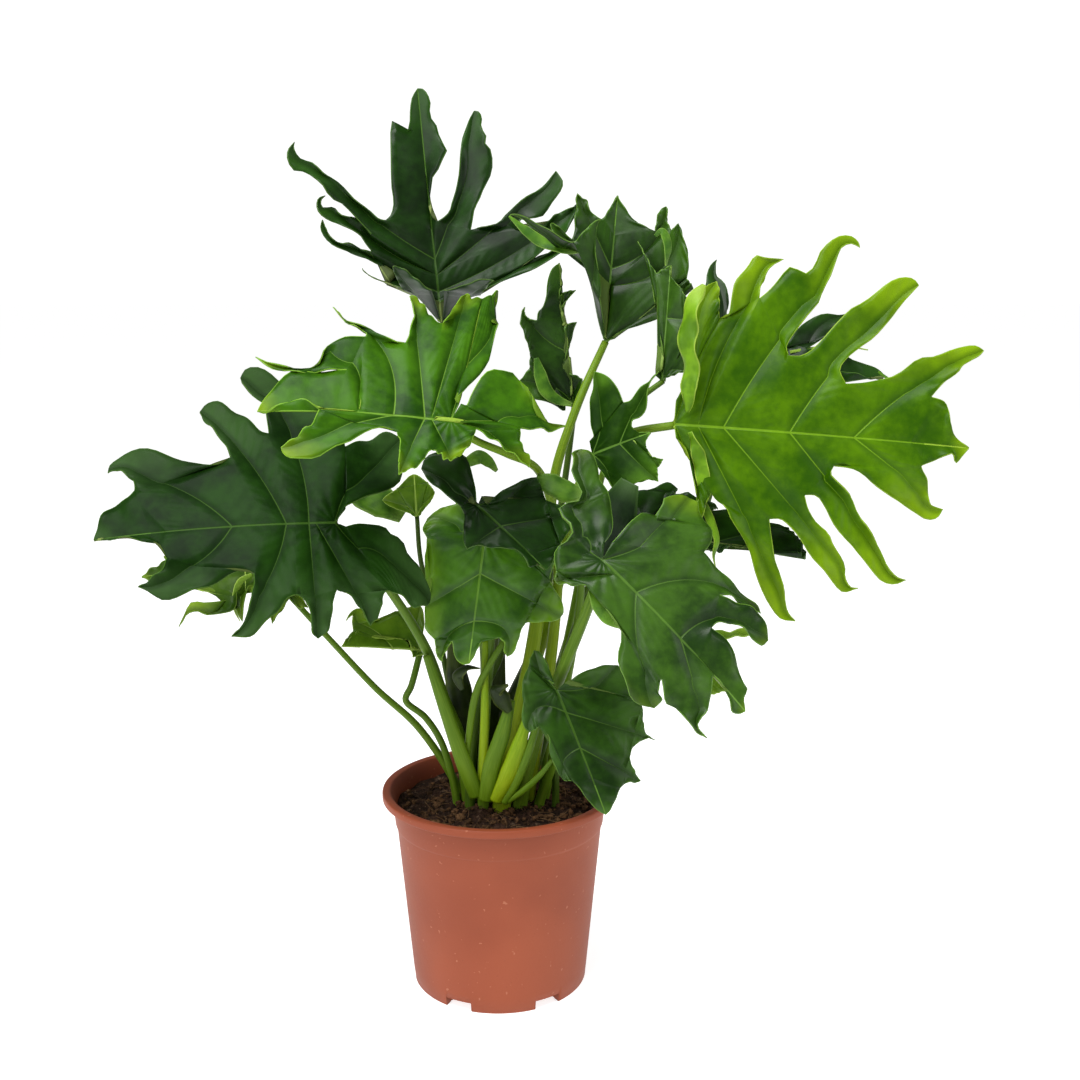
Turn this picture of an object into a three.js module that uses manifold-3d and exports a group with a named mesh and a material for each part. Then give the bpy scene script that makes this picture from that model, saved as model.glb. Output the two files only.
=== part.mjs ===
// A potted philodendron: a plastic nursery pot, its potting soil, and the leaves,
// each a lobed blade on its own leaf stalk that stands in a hole in the soil.
// Millimetres, +Z up, the front of the plant towards -Y. The origin lies on the
// pot's axis, on the surface that the pot stands on.

import * as THREE from 'three';
import { mergeVertices } from 'three/addons/utils/BufferGeometryUtils.js';
import Module from 'manifold-3d';

const wasm = await Module();
wasm.setup();

// ---------- driving dimensions: pot ----------
const POT_HEIGHT = 145.3;
const LIP_RADIUS = 85;
const LIP_INNER_RADIUS = 78.8;
const LIP_BAND = 5.5;
const WALL = 1.6;
const BASE_RADIUS = 63.5;
const TAPER = 0.0935; // radius gained per millimetre of height
const COLLAR_BOTTOM = 120;
const COLLAR_STEP = 1.0;
const COLLAR_TOP_RADIUS = 77.9;
const DISC_RADIUS = 24; // the flat middle of the base, which rests on the surface
const CHANNEL_HEIGHT = 4.5; // the drain channel round it
const FOOT_WIDTH = 6;
const POT_SIDES = 48;

const NOTCHES = 6;
const NOTCH_AZIMUTH = 3.7; // degrees to the right of the front
const NOTCH_BOTTOM = 22;
const NOTCH_TOP = 17;
const NOTCH_HEIGHT = 6.8;

// ---------- driving dimensions: soil ----------
const SOIL_LEVEL = 131;
const SOIL_MOUND = 4; // the soil rises this much towards the stalks
const SOIL_LUMPS = 1.3;
const SOIL_SIDES = 40;
const GAP = 0.35; // clearance between pieces that meet

// ---------- driving dimensions: leaves ----------
const BLADE_THICKNESS = 0.8;
const STALK_SIDES = 7;
const VEIN_SLANT = 0.35; // how far the folds lean back towards the stalk
const VEIN_FOOT = 0.35; // where a vein leaves the midrib, between two folds
const VEIN_MARGIN = 0.3; // least share of a lobe's width on either side of its vein
const SINUS_ROUNDING = 0.14;
const INNER_ROWS = 1;
const OUTER_ROWS = 3;
const STALK_DEPTH = 14; // how far a stalk stands in the soil

// ---------- the photo: most points of a blade's outline are read off it ----------
const CAMERA = new THREE.Vector3(29.7, -942.4, 507.8);
const CAMERA_TILT = 10.8; // degrees that it looks down
const PHOTO_MIDDLE = 540; // pixels, both across and down
const PHOTO_FOCAL = 1360; // pixels
const READING_STEP = 0.5; // mm over which the blade's slope in the photo is measured
const READING_TURNS = 50;
const READING_LONGEST = 15; // mm that one turn may move a point

// ---------- small helpers ----------

const rad = THREE.MathUtils.degToRad;

function closed(geometry) {
  geometry.deleteAttribute('normal');
  geometry.deleteAttribute('uv');
  return mergeVertices(geometry, 1e-4);
}

function toSolid(geometry) {
  const clean = closed(geometry);
  return new wasm.Manifold(new wasm.Mesh({
    numProp: 3,
    vertProperties: new Float32Array(clean.attributes.position.array),
    triVerts: new Uint32Array(clean.index.array),
  }));
}

function toGeometry(solid) {
  const mesh = solid.getMesh();
  const geometry = new THREE.BufferGeometry();
  geometry.setAttribute('position', new THREE.BufferAttribute(mesh.vertProperties, 3));
  geometry.setIndex(new THREE.BufferAttribute(mesh.triVerts, 1));
  return geometry;
}

// A lathe about +Z from a profile of [radius, height] pairs.
function turned(profile, sides) {
  const points = profile.map(([radius, height]) => new THREE.Vector2(radius, height));
  return new THREE.LatheGeometry(points, sides).rotateX(Math.PI / 2);
}

const group = new THREE.Group();

function add(name, geometry, colour, roughness) {
  const material = new THREE.MeshStandardMaterial({ color: colour, roughness, metalness: 0 });
  const mesh = new THREE.Mesh(geometry, material);
  mesh.name = name;
  group.add(mesh);
  return mesh;
}

// ---------- pot ----------

const wallRadius = (height) => BASE_RADIUS + TAPER * height;

// The inner face of the wall, on which the soil also depends.
function innerRadius(height) {
  if (height < COLLAR_BOTTOM) return wallRadius(height) - WALL;
  const low = wallRadius(COLLAR_BOTTOM) + COLLAR_STEP;
  const share = (height - COLLAR_BOTTOM) / (POT_HEIGHT - LIP_BAND - COLLAR_BOTTOM);
  return low + (COLLAR_TOP_RADIUS - low) * share - WALL;
}

function potProfile() {
  const floor = CHANNEL_HEIGHT + WALL;
  const footInner = BASE_RADIUS - FOOT_WIDTH;
  const skirt = POT_HEIGHT - LIP_BAND;
  return [
    [0, 0],
    [DISC_RADIUS, 0],
    [DISC_RADIUS + 4, CHANNEL_HEIGHT],
    [footInner - 2, CHANNEL_HEIGHT],
    [footInner, 0],
    [BASE_RADIUS, 0],
    [wallRadius(COLLAR_BOTTOM - 0.6), COLLAR_BOTTOM - 0.6],
    [wallRadius(COLLAR_BOTTOM) + COLLAR_STEP, COLLAR_BOTTOM + 0.6],
    [COLLAR_TOP_RADIUS, skirt],
    [LIP_INNER_RADIUS + 1.4, POT_HEIGHT - WALL - 0.5],
    [LIP_RADIUS - WALL, POT_HEIGHT - WALL - 0.3],
    [LIP_RADIUS - WALL + 0.2, skirt],
    [LIP_RADIUS, skirt],
    [LIP_RADIUS, POT_HEIGHT - 1],
    [LIP_RADIUS - 1, POT_HEIGHT],
    [LIP_INNER_RADIUS + 1, POT_HEIGHT],
    [LIP_INNER_RADIUS, POT_HEIGHT - 1],
    [innerRadius(skirt), skirt],
    [innerRadius(COLLAR_BOTTOM), COLLAR_BOTTOM + 0.6],
    [innerRadius(COLLAR_BOTTOM - 0.6), COLLAR_BOTTOM - 0.6],
    [innerRadius(floor), floor],
    [DISC_RADIUS + 2, floor],
    [DISC_RADIUS - 1, WALL],
    [0, WALL],
  ];
}

function notch(index) {
  const outline = new THREE.Shape([
    new THREE.Vector2(-NOTCH_BOTTOM / 2, -1),
    new THREE.Vector2(NOTCH_BOTTOM / 2, -1),
    new THREE.Vector2(NOTCH_BOTTOM / 2, 2),
    new THREE.Vector2(NOTCH_TOP / 2, NOTCH_HEIGHT),
    new THREE.Vector2(-NOTCH_TOP / 2, NOTCH_HEIGHT),
    new THREE.Vector2(-NOTCH_BOTTOM / 2, 2),
  ]);
  const depth = FOOT_WIDTH + 4;
  const cutter = new THREE.ExtrudeGeometry(outline, { depth, bevelEnabled: false });
  cutter.rotateX(Math.PI / 2); // the outline stands upright, and reaches towards -Y
  cutter.translate(0, -(BASE_RADIUS - FOOT_WIDTH), 0);
  cutter.rotateZ(rad(NOTCH_AZIMUTH + (index * 360) / NOTCHES));
  return toSolid(cutter);
}

let pot = toSolid(turned(potProfile(), POT_SIDES));
for (let index = 0; index < NOTCHES; index += 1) pot = pot.subtract(notch(index));
add('pot', toGeometry(pot), 0xa85d42, 0.55);

// ---------- leaf stalks ----------

// A stalk is a slim lathe, its length along the curve, bent to follow the curve.
// radii are spread evenly along it, from the foot to the blade.
function stalkGeometry(points, radii, grow = 0) {
  const curve = new THREE.CatmullRomCurve3(points.map((p) => new THREE.Vector3(...p)));
  const length = curve.getLength();
  const steps = Math.max(5, Math.min(14, Math.round(length / 22)));
  const frames = curve.computeFrenetFrames(steps, false);
  const radiusAt = (share) => {
    const place = share * (radii.length - 1);
    const low = Math.min(Math.floor(place), radii.length - 2);
    return THREE.MathUtils.lerp(radii[low], radii[low + 1], place - low) + grow;
  };
  const profile = [[0, 0]];
  for (let step = 0; step <= steps; step += 1) profile.push([radiusAt(step / steps), step]);
  profile.push([0, steps]);
  const geometry = closed(turned(profile, STALK_SIDES));
  const position = geometry.attributes.position;
  for (let i = 0; i < position.count; i += 1) {
    const step = Math.round(position.getZ(i));
    const centre = curve.getPointAt(step / steps);
    if (step === 0) centre.addScaledVector(frames.tangents[0], -grow);
    centre.addScaledVector(frames.normals[step], position.getX(i));
    centre.addScaledVector(frames.binormals[step], position.getY(i));
    position.setXYZ(i, centre.x, centre.y, centre.z);
  }
  return geometry;
}

// ---------- blades ----------

// Where a point of a blade lies: a along the midrib from the stalk, c across it
// (to the left of the way that the midrib points), and lift off the surface.
function bladeSurface(leaf) {
  const [azimuth, rise, roll] = leaf.turn.map(rad);
  const flat = new THREE.Vector3(Math.cos(azimuth), Math.sin(azimuth), 0);
  const ahead = flat.clone().multiplyScalar(Math.cos(rise)).setZ(Math.sin(rise));
  const level = new THREE.Vector3(-Math.sin(azimuth), Math.cos(azimuth), 0);
  const up = new THREE.Vector3().crossVectors(ahead, level);
  const left = level.clone().multiplyScalar(Math.cos(roll)).addScaledVector(up, Math.sin(roll));
  const face = up.clone().multiplyScalar(Math.cos(roll)).addScaledVector(level, -Math.sin(roll));
  const bend = rad(leaf.bend || 0.01) / leaf.length;
  const width = leaf.length * 0.6;
  return (a, c, lift) => {
    const turn = bend * a;
    const along = Math.sin(turn) / bend;
    const drop = (Math.cos(turn) - 1) / bend;
    const side = c >= 0 ? 0 : 1;
    const fold = rad(leaf.fold[side]);
    const curl = rad(leaf.curl[side] || 0.01) / width;
    const out = Math.abs(c);
    const across = (Math.sin(fold + curl * out) - Math.sin(fold)) / curl;
    const height = (Math.cos(fold) - Math.cos(fold + curl * out)) / curl + lift;
    return new THREE.Vector3(...leaf.at)
      .addScaledVector(ahead, along + height * Math.sin(turn))
      .addScaledVector(left, c >= 0 ? across : -across)
      .addScaledVector(face, drop + height * Math.cos(turn));
  };
}

// ---------- blades: points read off the photo ----------

// A reading is a point of the outline in the photo's pixels, with its lift off the
// blade in mm. Where it is seen, the sight line ends on the lifted point. Where it is
// raised, the sight line ends on the blade, and the point then leaves the blade.
const seen = (x, y, lift = 0) => ({ x, y, sightLift: lift, lift });
const raised = (x, y, lift) => ({ x, y, sightLift: 0, lift });

// Where a point in space lies in the photo, from its middle.
function inPhoto(point) {
  const sight = point.clone().sub(CAMERA);
  const tilt = rad(CAMERA_TILT);
  const depth = sight.y * Math.cos(tilt) - sight.z * Math.sin(tilt);
  const height = sight.y * Math.sin(tilt) + sight.z * Math.cos(tilt);
  return new THREE.Vector2(sight.x, -height).multiplyScalar(PHOTO_FOCAL / depth);
}

// The place [a, c, lift] of a reading on its blade, in whole mm. Newton's method
// walks there from several starts, and the first that arrives is kept.
function placeOf(leaf, reading, side) {
  if (Array.isArray(reading)) return reading;
  const surface = bladeSurface(leaf);
  const wanted = new THREE.Vector2(reading.x - PHOTO_MIDDLE, reading.y - PHOTO_MIDDLE);
  const missed = (a, c) => inPhoto(surface(a, c, reading.sightLift)).sub(wanted);
  let best = { miss: Infinity };
  for (const start of [-0.3, 0.1, 0.5, 0.9]) {
    let [a, c] = [start * leaf.length, side * 0.3 * leaf.length];
    for (let turn = 0; turn < READING_TURNS; turn += 1) {
      const miss = missed(a, c);
      const byA = missed(a + READING_STEP, c).sub(miss).divideScalar(READING_STEP);
      const byC = missed(a, c + READING_STEP).sub(miss).divideScalar(READING_STEP);
      const area = byA.cross(byC);
      const step = new THREE.Vector2(miss.cross(byC) / area, byA.cross(miss) / area);
      step.clampLength(0, READING_LONGEST);
      a -= step.x;
      c -= step.y;
    }
    const miss = missed(a, c).length();
    if (miss < best.miss - 0.2) best = { miss, place: [Math.round(a), Math.round(c), reading.lift] };
  }
  return best.place;
}

// ---------- blades: the pieces of the outline ----------

// A lobe ends in a tip, and a sinus parts it from the next lobe towards the apex.
// A spur is a lobe that shares the foot of the vein before it. Both points are
// readings, or [along the midrib, across it, lift] in mm.
// The swell says how far its two edges bulge, before and after the tip, as shares
// of their length.
const EVEN = [0.08, 0.08];
const lobe = (tip, sinus, swell = EVEN) => ({ tip, sinus, swell, spur: false });
const spur = (tip, sinus, swell = EVEN) => ({ tip, sinus, swell, spur: true });

// The places on the midrib where veins and the folds between them start. Both
// halves of a blade share them.
function midribStations(leaf) {
  const left = leaf.left.lobes.filter((each) => !each.spur);
  const right = leaf.right.lobes.filter((each) => !each.spur);
  const least = (0.4 * leaf.length) / (left.length + 1);
  const stations = [0];
  left.forEach((each, index) => {
    const pair = [each.sinus, right[index].sinus];
    const wanted = pair.reduce((sum, [a, c]) => sum + a - VEIN_SLANT * Math.abs(c), 0) / 2;
    const most = leaf.length * (0.8 - 0.1 * (left.length - 1 - index));
    const before = stations[index];
    stations.push(Math.max(before + least, Math.min(wanted, most)));
  });
  return stations;
}

// Points of the margin from a sinus to a tip: rounded in the sinus, full beyond it.
function marginPoint(sinus, tip, root, swell, share) {
  const way = tip.clone().sub(sinus);
  const length = Math.hypot(way.x, way.y) || 1;
  const outward = new THREE.Vector3(-way.y, way.x, 0).divideScalar(length);
  const vein = tip.clone().sub(root);
  const turn = vein.x * (sinus.y - root.y) - vein.y * (sinus.x - root.x);
  if (turn < 0) outward.negate();
  const bulge = swell * 2.6 * share * Math.sqrt(1 - share);
  const hollow = SINUS_ROUNDING * Math.sqrt(share) * (1 - share) ** 2;
  return sinus.clone().addScaledVector(way, share).addScaledVector(outward, length * (bulge - hollow));
}

// One half of a blade as triangles of flat points [along, across, lift].
function halfBlade(leaf, half, sign, stations) {
  const flatPoint = ([a, c, lift = 0]) => new THREE.Vector3(a, sign * c, lift);
  const triangles = [];
  const quad = (a, b, c, d) => triangles.push([a, b, c], [a, c, d]);
  const strip = (rows) => {
    for (let r = 1; r < rows.length; r += 1) {
      for (let i = 1; i < rows[r].length; i += 1) {
        quad(rows[r - 1][i - 1], rows[r][i - 1], rows[r][i], rows[r - 1][i]);
      }
    }
  };
  const onRib = (a) => new THREE.Vector3(a, 0, 0);
  const fold = (foot, sinus, share) => {
    const point = foot.clone().lerp(sinus, share);
    return point.setZ(sinus.z * share * share);
  };
  let station = 0;
  let sinusBefore = flatPoint(half.notch);
  for (const each of half.lobes) {
    const before = onRib(stations[station]);
    if (!each.spur) station += 1;
    const after = onRib(stations[station]);
    const root = station <= 1 && !each.spur ? before.clone() : before.clone().lerp(after, VEIN_FOOT);
    const tip = flatPoint(each.tip);
    const sinus = flatPoint(each.sinus);
    const side = veinSide(root, tip, sinusBefore, sinus);
    const neck = sinusBefore.clone().lerp(sinus, side);
    const rows = [[before, root, after]];
    for (let r = 1; r <= INNER_ROWS; r += 1) {
      const share = r / INNER_ROWS;
      rows.push([
        fold(before, sinusBefore, share),
        fold(root, neck, share),
        fold(after, sinus, share),
      ]);
    }
    for (let r = 1; r <= OUTER_ROWS; r += 1) {
      const share = r / OUTER_ROWS;
      const edge = marginPoint(sinusBefore, tip, root, each.swell[0], share);
      const otherEdge = marginPoint(sinus, tip, root, each.swell[1], share);
      const between = THREE.MathUtils.lerp(side, 0.5, share);
      rows.push([edge, edge.clone().lerp(otherEdge, between), otherEdge]);
    }
    strip(rows);
    sinusBefore = sinus;
  }
  const foot = onRib(stations[station]);
  const apex = new THREE.Vector3(leaf.length, 0, 0);
  const last = [leaf.left, leaf.right].map((side) => side.lobes.at(-1).sinus);
  const level = veinLevel(foot, apex, last.map(([a, c]) => new THREE.Vector3(a, Math.abs(c), 0)));
  const rows = [[foot, foot]];
  for (let r = 1; r <= INNER_ROWS; r += 1) {
    const share = r / INNER_ROWS;
    rows.push([fold(foot, sinusBefore, share), onRib(foot.x + (apex.x - foot.x) * level * share)]);
  }
  for (let r = 1; r <= OUTER_ROWS; r += 1) {
    const share = r / OUTER_ROWS;
    const along = level + (1 - level) * share;
    const edge = marginPoint(sinusBefore, apex, foot, half.apexSwell ?? EVEN[0], share);
    rows.push([edge, onRib(foot.x + (apex.x - foot.x) * along)]);
  }
  strip(rows);
  return triangles;
}

// Where a vein passes between its two sinuses, as a share of the way between them:
// straight on to the tip where it can, and well clear of both.
function veinSide(root, tip, sinusBefore, sinus) {
  const vein = tip.clone().sub(root);
  const across = sinus.clone().sub(sinusBefore);
  const offset = root.clone().sub(sinusBefore);
  const slope = vein.x * across.y - vein.y * across.x;
  const straight = slope === 0 ? 0.5 : (vein.x * offset.y - vein.y * offset.x) / slope;
  return THREE.MathUtils.clamp(straight, VEIN_MARGIN, 1 - VEIN_MARGIN);
}

// How far along the midrib the apex comes free of the lobes beside it.
function veinLevel(root, tip, sinuses) {
  const vein = tip.clone().sub(root).setZ(0);
  const length = vein.length();
  const reach = sinuses.map((sinus) => sinus.clone().sub(root).setZ(0).dot(vein) / (length * length));
  const mean = (reach[0] + reach[1]) / 2;
  return THREE.MathUtils.clamp(mean, 0.2, 0.75);
}

// The direction in which each point of a sheet is thickened: the mean of its faces'
// normals, each weighted by its angle at the point.
function sheetNormals(points, faces) {
  const normals = points.map(() => new THREE.Vector3());
  for (const face of faces) {
    const [a, b, c] = face.map((corner) => points[corner]);
    const normal = b.clone().sub(a).cross(c.clone().sub(a)).normalize();
    face.forEach((corner, i) => {
      const here = points[corner];
      const next = points[face[(i + 1) % 3]].clone().sub(here);
      const last = points[face[(i + 2) % 3]].clone().sub(here);
      normals[corner].addScaledVector(normal, next.angleTo(last));
    });
  }
  return normals.map((normal) => normal.normalize());
}

// The whole blade: both halves on the curved surface, thickened, with closed edges.
function bladeGeometry(leaf) {
  const place = bladeSurface(leaf);
  const stations = midribStations(leaf);
  const positions = [];
  for (const side of ['left', 'right']) {
    const sign = side === 'left' ? 1 : -1;
    for (const triangle of halfBlade(leaf, leaf[side], sign, stations)) {
      const ordered = side === 'left' ? [...triangle].reverse() : triangle;
      for (const point of ordered) positions.push(...place(point.x, sign * point.y, point.z));
    }
  }
  const soup = new THREE.BufferGeometry();
  soup.setAttribute('position', new THREE.Float32BufferAttribute(positions, 3));
  const sheet = mergeVertices(soup, 1e-3);
  const faces = [];
  for (let i = 0; i < sheet.index.count; i += 3) {
    const face = [0, 1, 2].map((corner) => sheet.index.getX(i + corner));
    if (new Set(face).size === 3) faces.push(face);
  }
  const position = sheet.attributes.position;
  const corner = (_, i) => new THREE.Vector3().fromBufferAttribute(position, i);
  const points = Array.from(Array(position.count), corner);
  const normals = sheetNormals(points, faces);
  const count = points.length;
  const solid = [];
  for (const offset of [BLADE_THICKNESS / 2, -BLADE_THICKNESS / 2]) {
    points.forEach((point, i) => solid.push(...point.clone().addScaledVector(normals[i], offset)));
  }
  const index = [];
  const edges = new Map();
  for (const [a, b, c] of faces) {
    index.push(a, b, c, count + a, count + c, count + b);
    for (const [from, to] of [[a, b], [b, c], [c, a]]) edges.set(`${from},${to}`, [from, to]);
  }
  for (const [from, to] of edges.values()) {
    if (edges.has(`${to},${from}`)) continue;
    index.push(from, count + from, to, to, count + from, count + to);
  }
  const geometry = new THREE.BufferGeometry();
  geometry.setAttribute('position', new THREE.Float32BufferAttribute(solid, 3));
  geometry.setIndex(index);
  return geometry;
}

// ---------- the leaves, one by one ----------

const LEAVES = [
  {
    name: 'left_large',
    at: [-104, -70, 353], turn: [190, 1, -45], length: 154, bend: 12, fold: [0, 0], curl: [-10, -10],
    left: {
      notch: [-7, 6],
      lobes: [
        lobe([-56, 61, -6], seen(388, 595), [0.24, 0.1]),
        spur(raised(372, 624, -4), seen(337, 594), [0.1, 0.12]),
        lobe(raised(320, 636, -6), seen(296, 598), [0.12, 0.12]),
        lobe(raised(236, 636, -6), seen(252, 575), [0.12, 0]),
        lobe(raised(137, 584, -4), seen(168, 561), [0.12, 0.05]),
      ],
      apexSwell: -0.04,
    },
    right: {
      notch: [-7, -8],
      lobes: [
        lobe(raised(403, 430, -8), seen(345, 450), [0.22, 0.1]),
        lobe(seen(255, 368), seen(270, 436), [0.1, 0.04]),
        lobe(raised(207, 403, 4), seen(224, 467), [0.14, 0]),
        lobe(seen(109, 470), seen(136, 493), [0.14, 0.1]),
      ],
      apexSwell: 0.1,
    },
    colour: 0x1f4a24,
    stalk: [[-81, -50, 317], [-50, -25, 256], [-38, -12, 213], [-28, -5, 182]],
    foot: [-22, 1], radii: [6.5, 5, 3.6, 3, 2.6],
  },
  {
    name: 'left_bright',
    at: [-26, -100, 422], turn: [193, 9, -46], length: 118, bend: 15, fold: [-5, 5], curl: [-10, -10],
    left: {
      notch: [-6, -12],
      lobes: [
        lobe([-75, -11], [-45, 3], [0.3, 0]), spur(raised(530, 463, -4), [-13, 9], [0, 0.1]),
        spur(seen(448, 459), seen(431, 452)), lobe(raised(408, 473, -5), seen(397, 437), [0.1, 0.05]),
        lobe(raised(285, 455, -4), [84, 11], [0.16, 0.08]),
      ],
      apexSwell: 0.02,
    },
    right: {
      notch: [-5, -12],
      lobes: [
        lobe(seen(498, 289), seen(483, 301), [0.04, 0]), spur(seen(470, 293), seen(441, 327), [0, 0.05]),
        lobe(seen(417, 294), seen(407, 345), [0.02, 0.06]),
        lobe(raised(333, 304, 6), seen(325, 350), [-0.04, -0.04]),
        spur(raised(255, 356, 6), seen(301, 374), [-0.04, -0.06]),
      ],
      apexSwell: 0.16,
    },
    colour: 0x3c8a2c,
    stalk: [[-10, -86, 408], [8, -69, 398], [30, -34, 380], [42, -11, 322], [37, -3, 240], [27, 3, 179]],
    foot: [20, 3], radii: [6, 5, 4, 3.2, 2.6, 2.4],
  },
  {
    name: 'right_bright',
    at: [121, -20, 412], turn: [352, -3, 72], length: 198, bend: 8, fold: [5, -5], curl: [-8, -8],
    left: {
      notch: [0, 15],
      lobes: [
        lobe(raised(722, 275, 4), seen(728, 318)), spur(seen(784, 259), [51, 90], [0.2, -0.04]),
        lobe(raised(861, 247, 5), seen(790, 355), [0.16, -0.06]),
        lobe(seen(920, 282), seen(844, 384), [0.17, -0.06]),
        lobe(seen(985, 349), seen(930, 397), [0.14, -0.02]),
      ],
      apexSwell: 0.04,
    },
    right: {
      notch: [2, -10],
      lobes: [
        lobe(seen(716, 567, 5), seen(725, 510)), spur(seen(795, 622), seen(769, 520), [0.1, -0.03]),
        lobe(seen(858, 591), seen(805, 497), [0.12, 0.02]),
        lobe(raised(905, 582, -5), seen(833, 471), [0.06, -0.04]),
        lobe(seen(943, 517), seen(921, 468), [0.04, 0]),
      ],
    },
    colour: 0x6fae2b,
    stalk: [[93, -10, 405], [71, 0, 392], [54, 8, 356], [42, 15, 291], [22, 11, 225], [4, 4, 172]],
    foot: [-5, 1], radii: [6.5, 6, 5, 4, 3.2, 2.8],
  },
  {
    name: 'top_left_dark',
    at: [-43, 75, 476], turn: [125, 80, -34], length: 173, bend: 0, fold: [10, 10], curl: [10, 10],
    left: {
      notch: [21, 3, 30],
      lobes: [
        lobe(seen(393, 266, 40), seen(402, 290, 12)), spur([45, 54], [31, 37]), lobe([77, 83], [60, 51]),
        spur(seen(322, 195), [70, 47]), lobe(seen(289, 145), seen(387, 220), [0.02, 0.04]),
      ],
      apexSwell: 0.08,
    },
    right: {
      notch: [20, -6, 30],
      lobes: [
        lobe(seen(494, 281, 40), seen(480, 296, 12)), spur(seen(573, 236), seen(530, 262)),
        lobe(seen(581, 196), seen(548, 222)),
        spur(seen(562, 178), seen(476, 231), [0.08, 0.06]),
        lobe(seen(475, 110), seen(438, 221), [0.08, 0.08]),
      ],
      apexSwell: 0.06,
    },
    colour: 0x1d4423,
    stalk: [[-38, 60, 399], [-22, 40, 305], [-11, 24, 241], [-12, 18, 174]],
    foot: [-14, 15], radii: [5, 4, 3.2, 2.8, 2.5],
  },
  {
    name: 'top_folded',
    at: [76, 40, 465], turn: [65, 78, 15], length: 105, bend: 0, fold: [10, 0], curl: [20, 20],
    left: {
      notch: [25, 2, 30],
      lobes: [
        lobe([76, 4, 45], [60, 22, 38]), spur(seen(509, 215, 30), seen(562, 250, 15)),
        spur(seen(551, 223, 10), seen(573, 240, 5)), lobe(seen(582, 194), seen(603, 215)),
      ],
    },
    right: {
      notch: [2, -7],
      lobes: [
        lobe(seen(692, 287), seen(680, 275)), spur(seen(688, 250), seen(672, 235)),
        spur(seen(678, 222), seen(668, 232)), lobe(seen(666, 206), seen(645, 229)),
      ],
    },
    colour: 0x2a5c26,
    stalk: [[61, 22, 433], [52, 14, 411], [41, 6, 377], [33, -5, 315], [23, -10, 243], [10, -12, 184]],
    foot: [2, -14], radii: [7, 6, 5, 4, 3.2, 2.6],
  },
  {
    name: 'top_narrow',
    at: [115, 15, 439], turn: [59, 82, -1], length: 80, bend: 0, fold: [0, 0], curl: [0, 0],
    left: { notch: [3, 4], lobes: [lobe(seen(637, 241), seen(659, 268), [0.05, 0.05])] },
    right: {
      notch: [2, -4],
      lobes: [
        lobe(seen(688, 372), seen(685, 350)), spur(seen(696, 320), seen(684, 290)),
      ],
    },
    colour: 0x245226,
    stalk: [[100, 20, 425], [83, 28, 396], [67, 32, 337], [53, 30, 264], [39, 26, 190]],
    foot: [32, 21], radii: [3.5, 3, 2.6, 2.3, 2],
  },
  {
    name: 'right_rear',
    at: [177, 85, 419], turn: [3, 10, 60], length: 116, bend: 5, fold: [0, 0], curl: [0, 0],
    left: {
      notch: [0, 8],
      lobes: [
        lobe(seen(718, 258), seen(760, 330)), lobe(seen(846, 313), seen(820, 355)),
      ],
    },
    right: {
      notch: [2, -7],
      lobes: [
        lobe(seen(745, 470), seen(790, 430)), lobe(seen(850, 450), seen(840, 400)),
      ],
    },
    colour: 0x24502a,
    stalk: [[162, 76, 383], [150, 68, 346], [105, 58, 287], [60, 50, 213], [28, 42, 165]],
    foot: [14, 33], radii: [4.5, 3.8, 3.2, 2.8, 2.4],
  },
  {
    name: 'front_right',
    at: [69, -108, 336], turn: [330, -37, 45], length: 129, bend: 20, fold: [-8, -8], curl: [-12, -12],
    left: {
      notch: [-4, 12],
      lobes: [
        lobe(seen(700, 496), seen(703, 554), [0.15, 0.2]),
        lobe(raised(762, 611, -4), seen(722, 598), [0.1, 0.05]),
        lobe(seen(769, 641), seen(712, 632), [0.1, 0.05]),
      ],
      apexSwell: 0.1,
    },
    right: {
      notch: [-10, -2],
      lobes: [
        lobe([-76, -54], [-20, -24], [0.16, 0.02]), spur([-12, -30], [6, -20], [0.1, 0.1]),
        lobe(seen(655, 708), seen(659, 680), [0.03, 0.1]), lobe(seen(702, 737), [100, -8], [0.1, 0.1]),
      ],
    },
    colour: 0x28602a,
    stalk: [[63, -70, 301], [48, -38, 251], [28, -21, 194]],
    foot: [15, -13], radii: [5.5, 4.8, 4, 3],
  },
  {
    name: 'centre_hanging',
    at: [-8, -35, 336], turn: [244, -74, -28], length: 87, bend: 15, fold: [-5, -5], curl: [-20, -20],
    left: {
      notch: [-8, 6],
      lobes: [
        lobe(seen(555, 540), seen(550, 580), [0.2, 0.1]), lobe(seen(561, 616), seen(525, 623), [0.15, 0.1]),
        lobe(seen(507, 657), seen(492, 637), [0.15, 0.12]),
      ],
      apexSwell: 0.15,
    },
    right: {
      notch: [-6, -7],
      lobes: [
        lobe(seen(434, 505), seen(432, 535), [0.2, 0.1]), lobe(seen(420, 572), seen(432, 606), [0.15, 0.1]),
        lobe(seen(443, 662), seen(452, 640), [0.15, 0.1]),
      ],
      apexSwell: 0.15,
    },
    colour: 0x3f8f2e,
    stalk: [[-4, -28, 276], [-8, -24, 216], [-11, -18, 170]],
    foot: [-11, -15], radii: [4.5, 3.5, 2.8, 2.4],
  },
  {
    name: 'centre_dark',
    at: [-11, -68, 364], turn: [337, -37, 53], length: 61, bend: 15, fold: [0, 0], curl: [-15, -15],
    left: {
      notch: [-2, 6],
      lobes: [
        lobe(seen(536, 476), seen(546, 500), [0.1, 0.1]),
        lobe(seen(570, 515), seen(560, 545), [0.15, 0.15]),
      ],
    },
    right: {
      notch: [-6, 2],
      lobes: [
        lobe([-47, -6], [-7, -10], [0.2, 0.2]), lobe(seen(464, 545), seen(500, 550), [0.1, 0.1]),
      ],
    },
    colour: 0x23572a,
    stalk: [
      [-10, -48, 359], [-9, -28, 351], [-5, -10, 330], [2, -6, 290], [2, -6, 250], [-12, -5, 215],
      [-18, -9, 185],
    ],
    foot: [-21, -13], radii: [4, 3.2, 2.6, 2.2],
  },
  {
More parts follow.
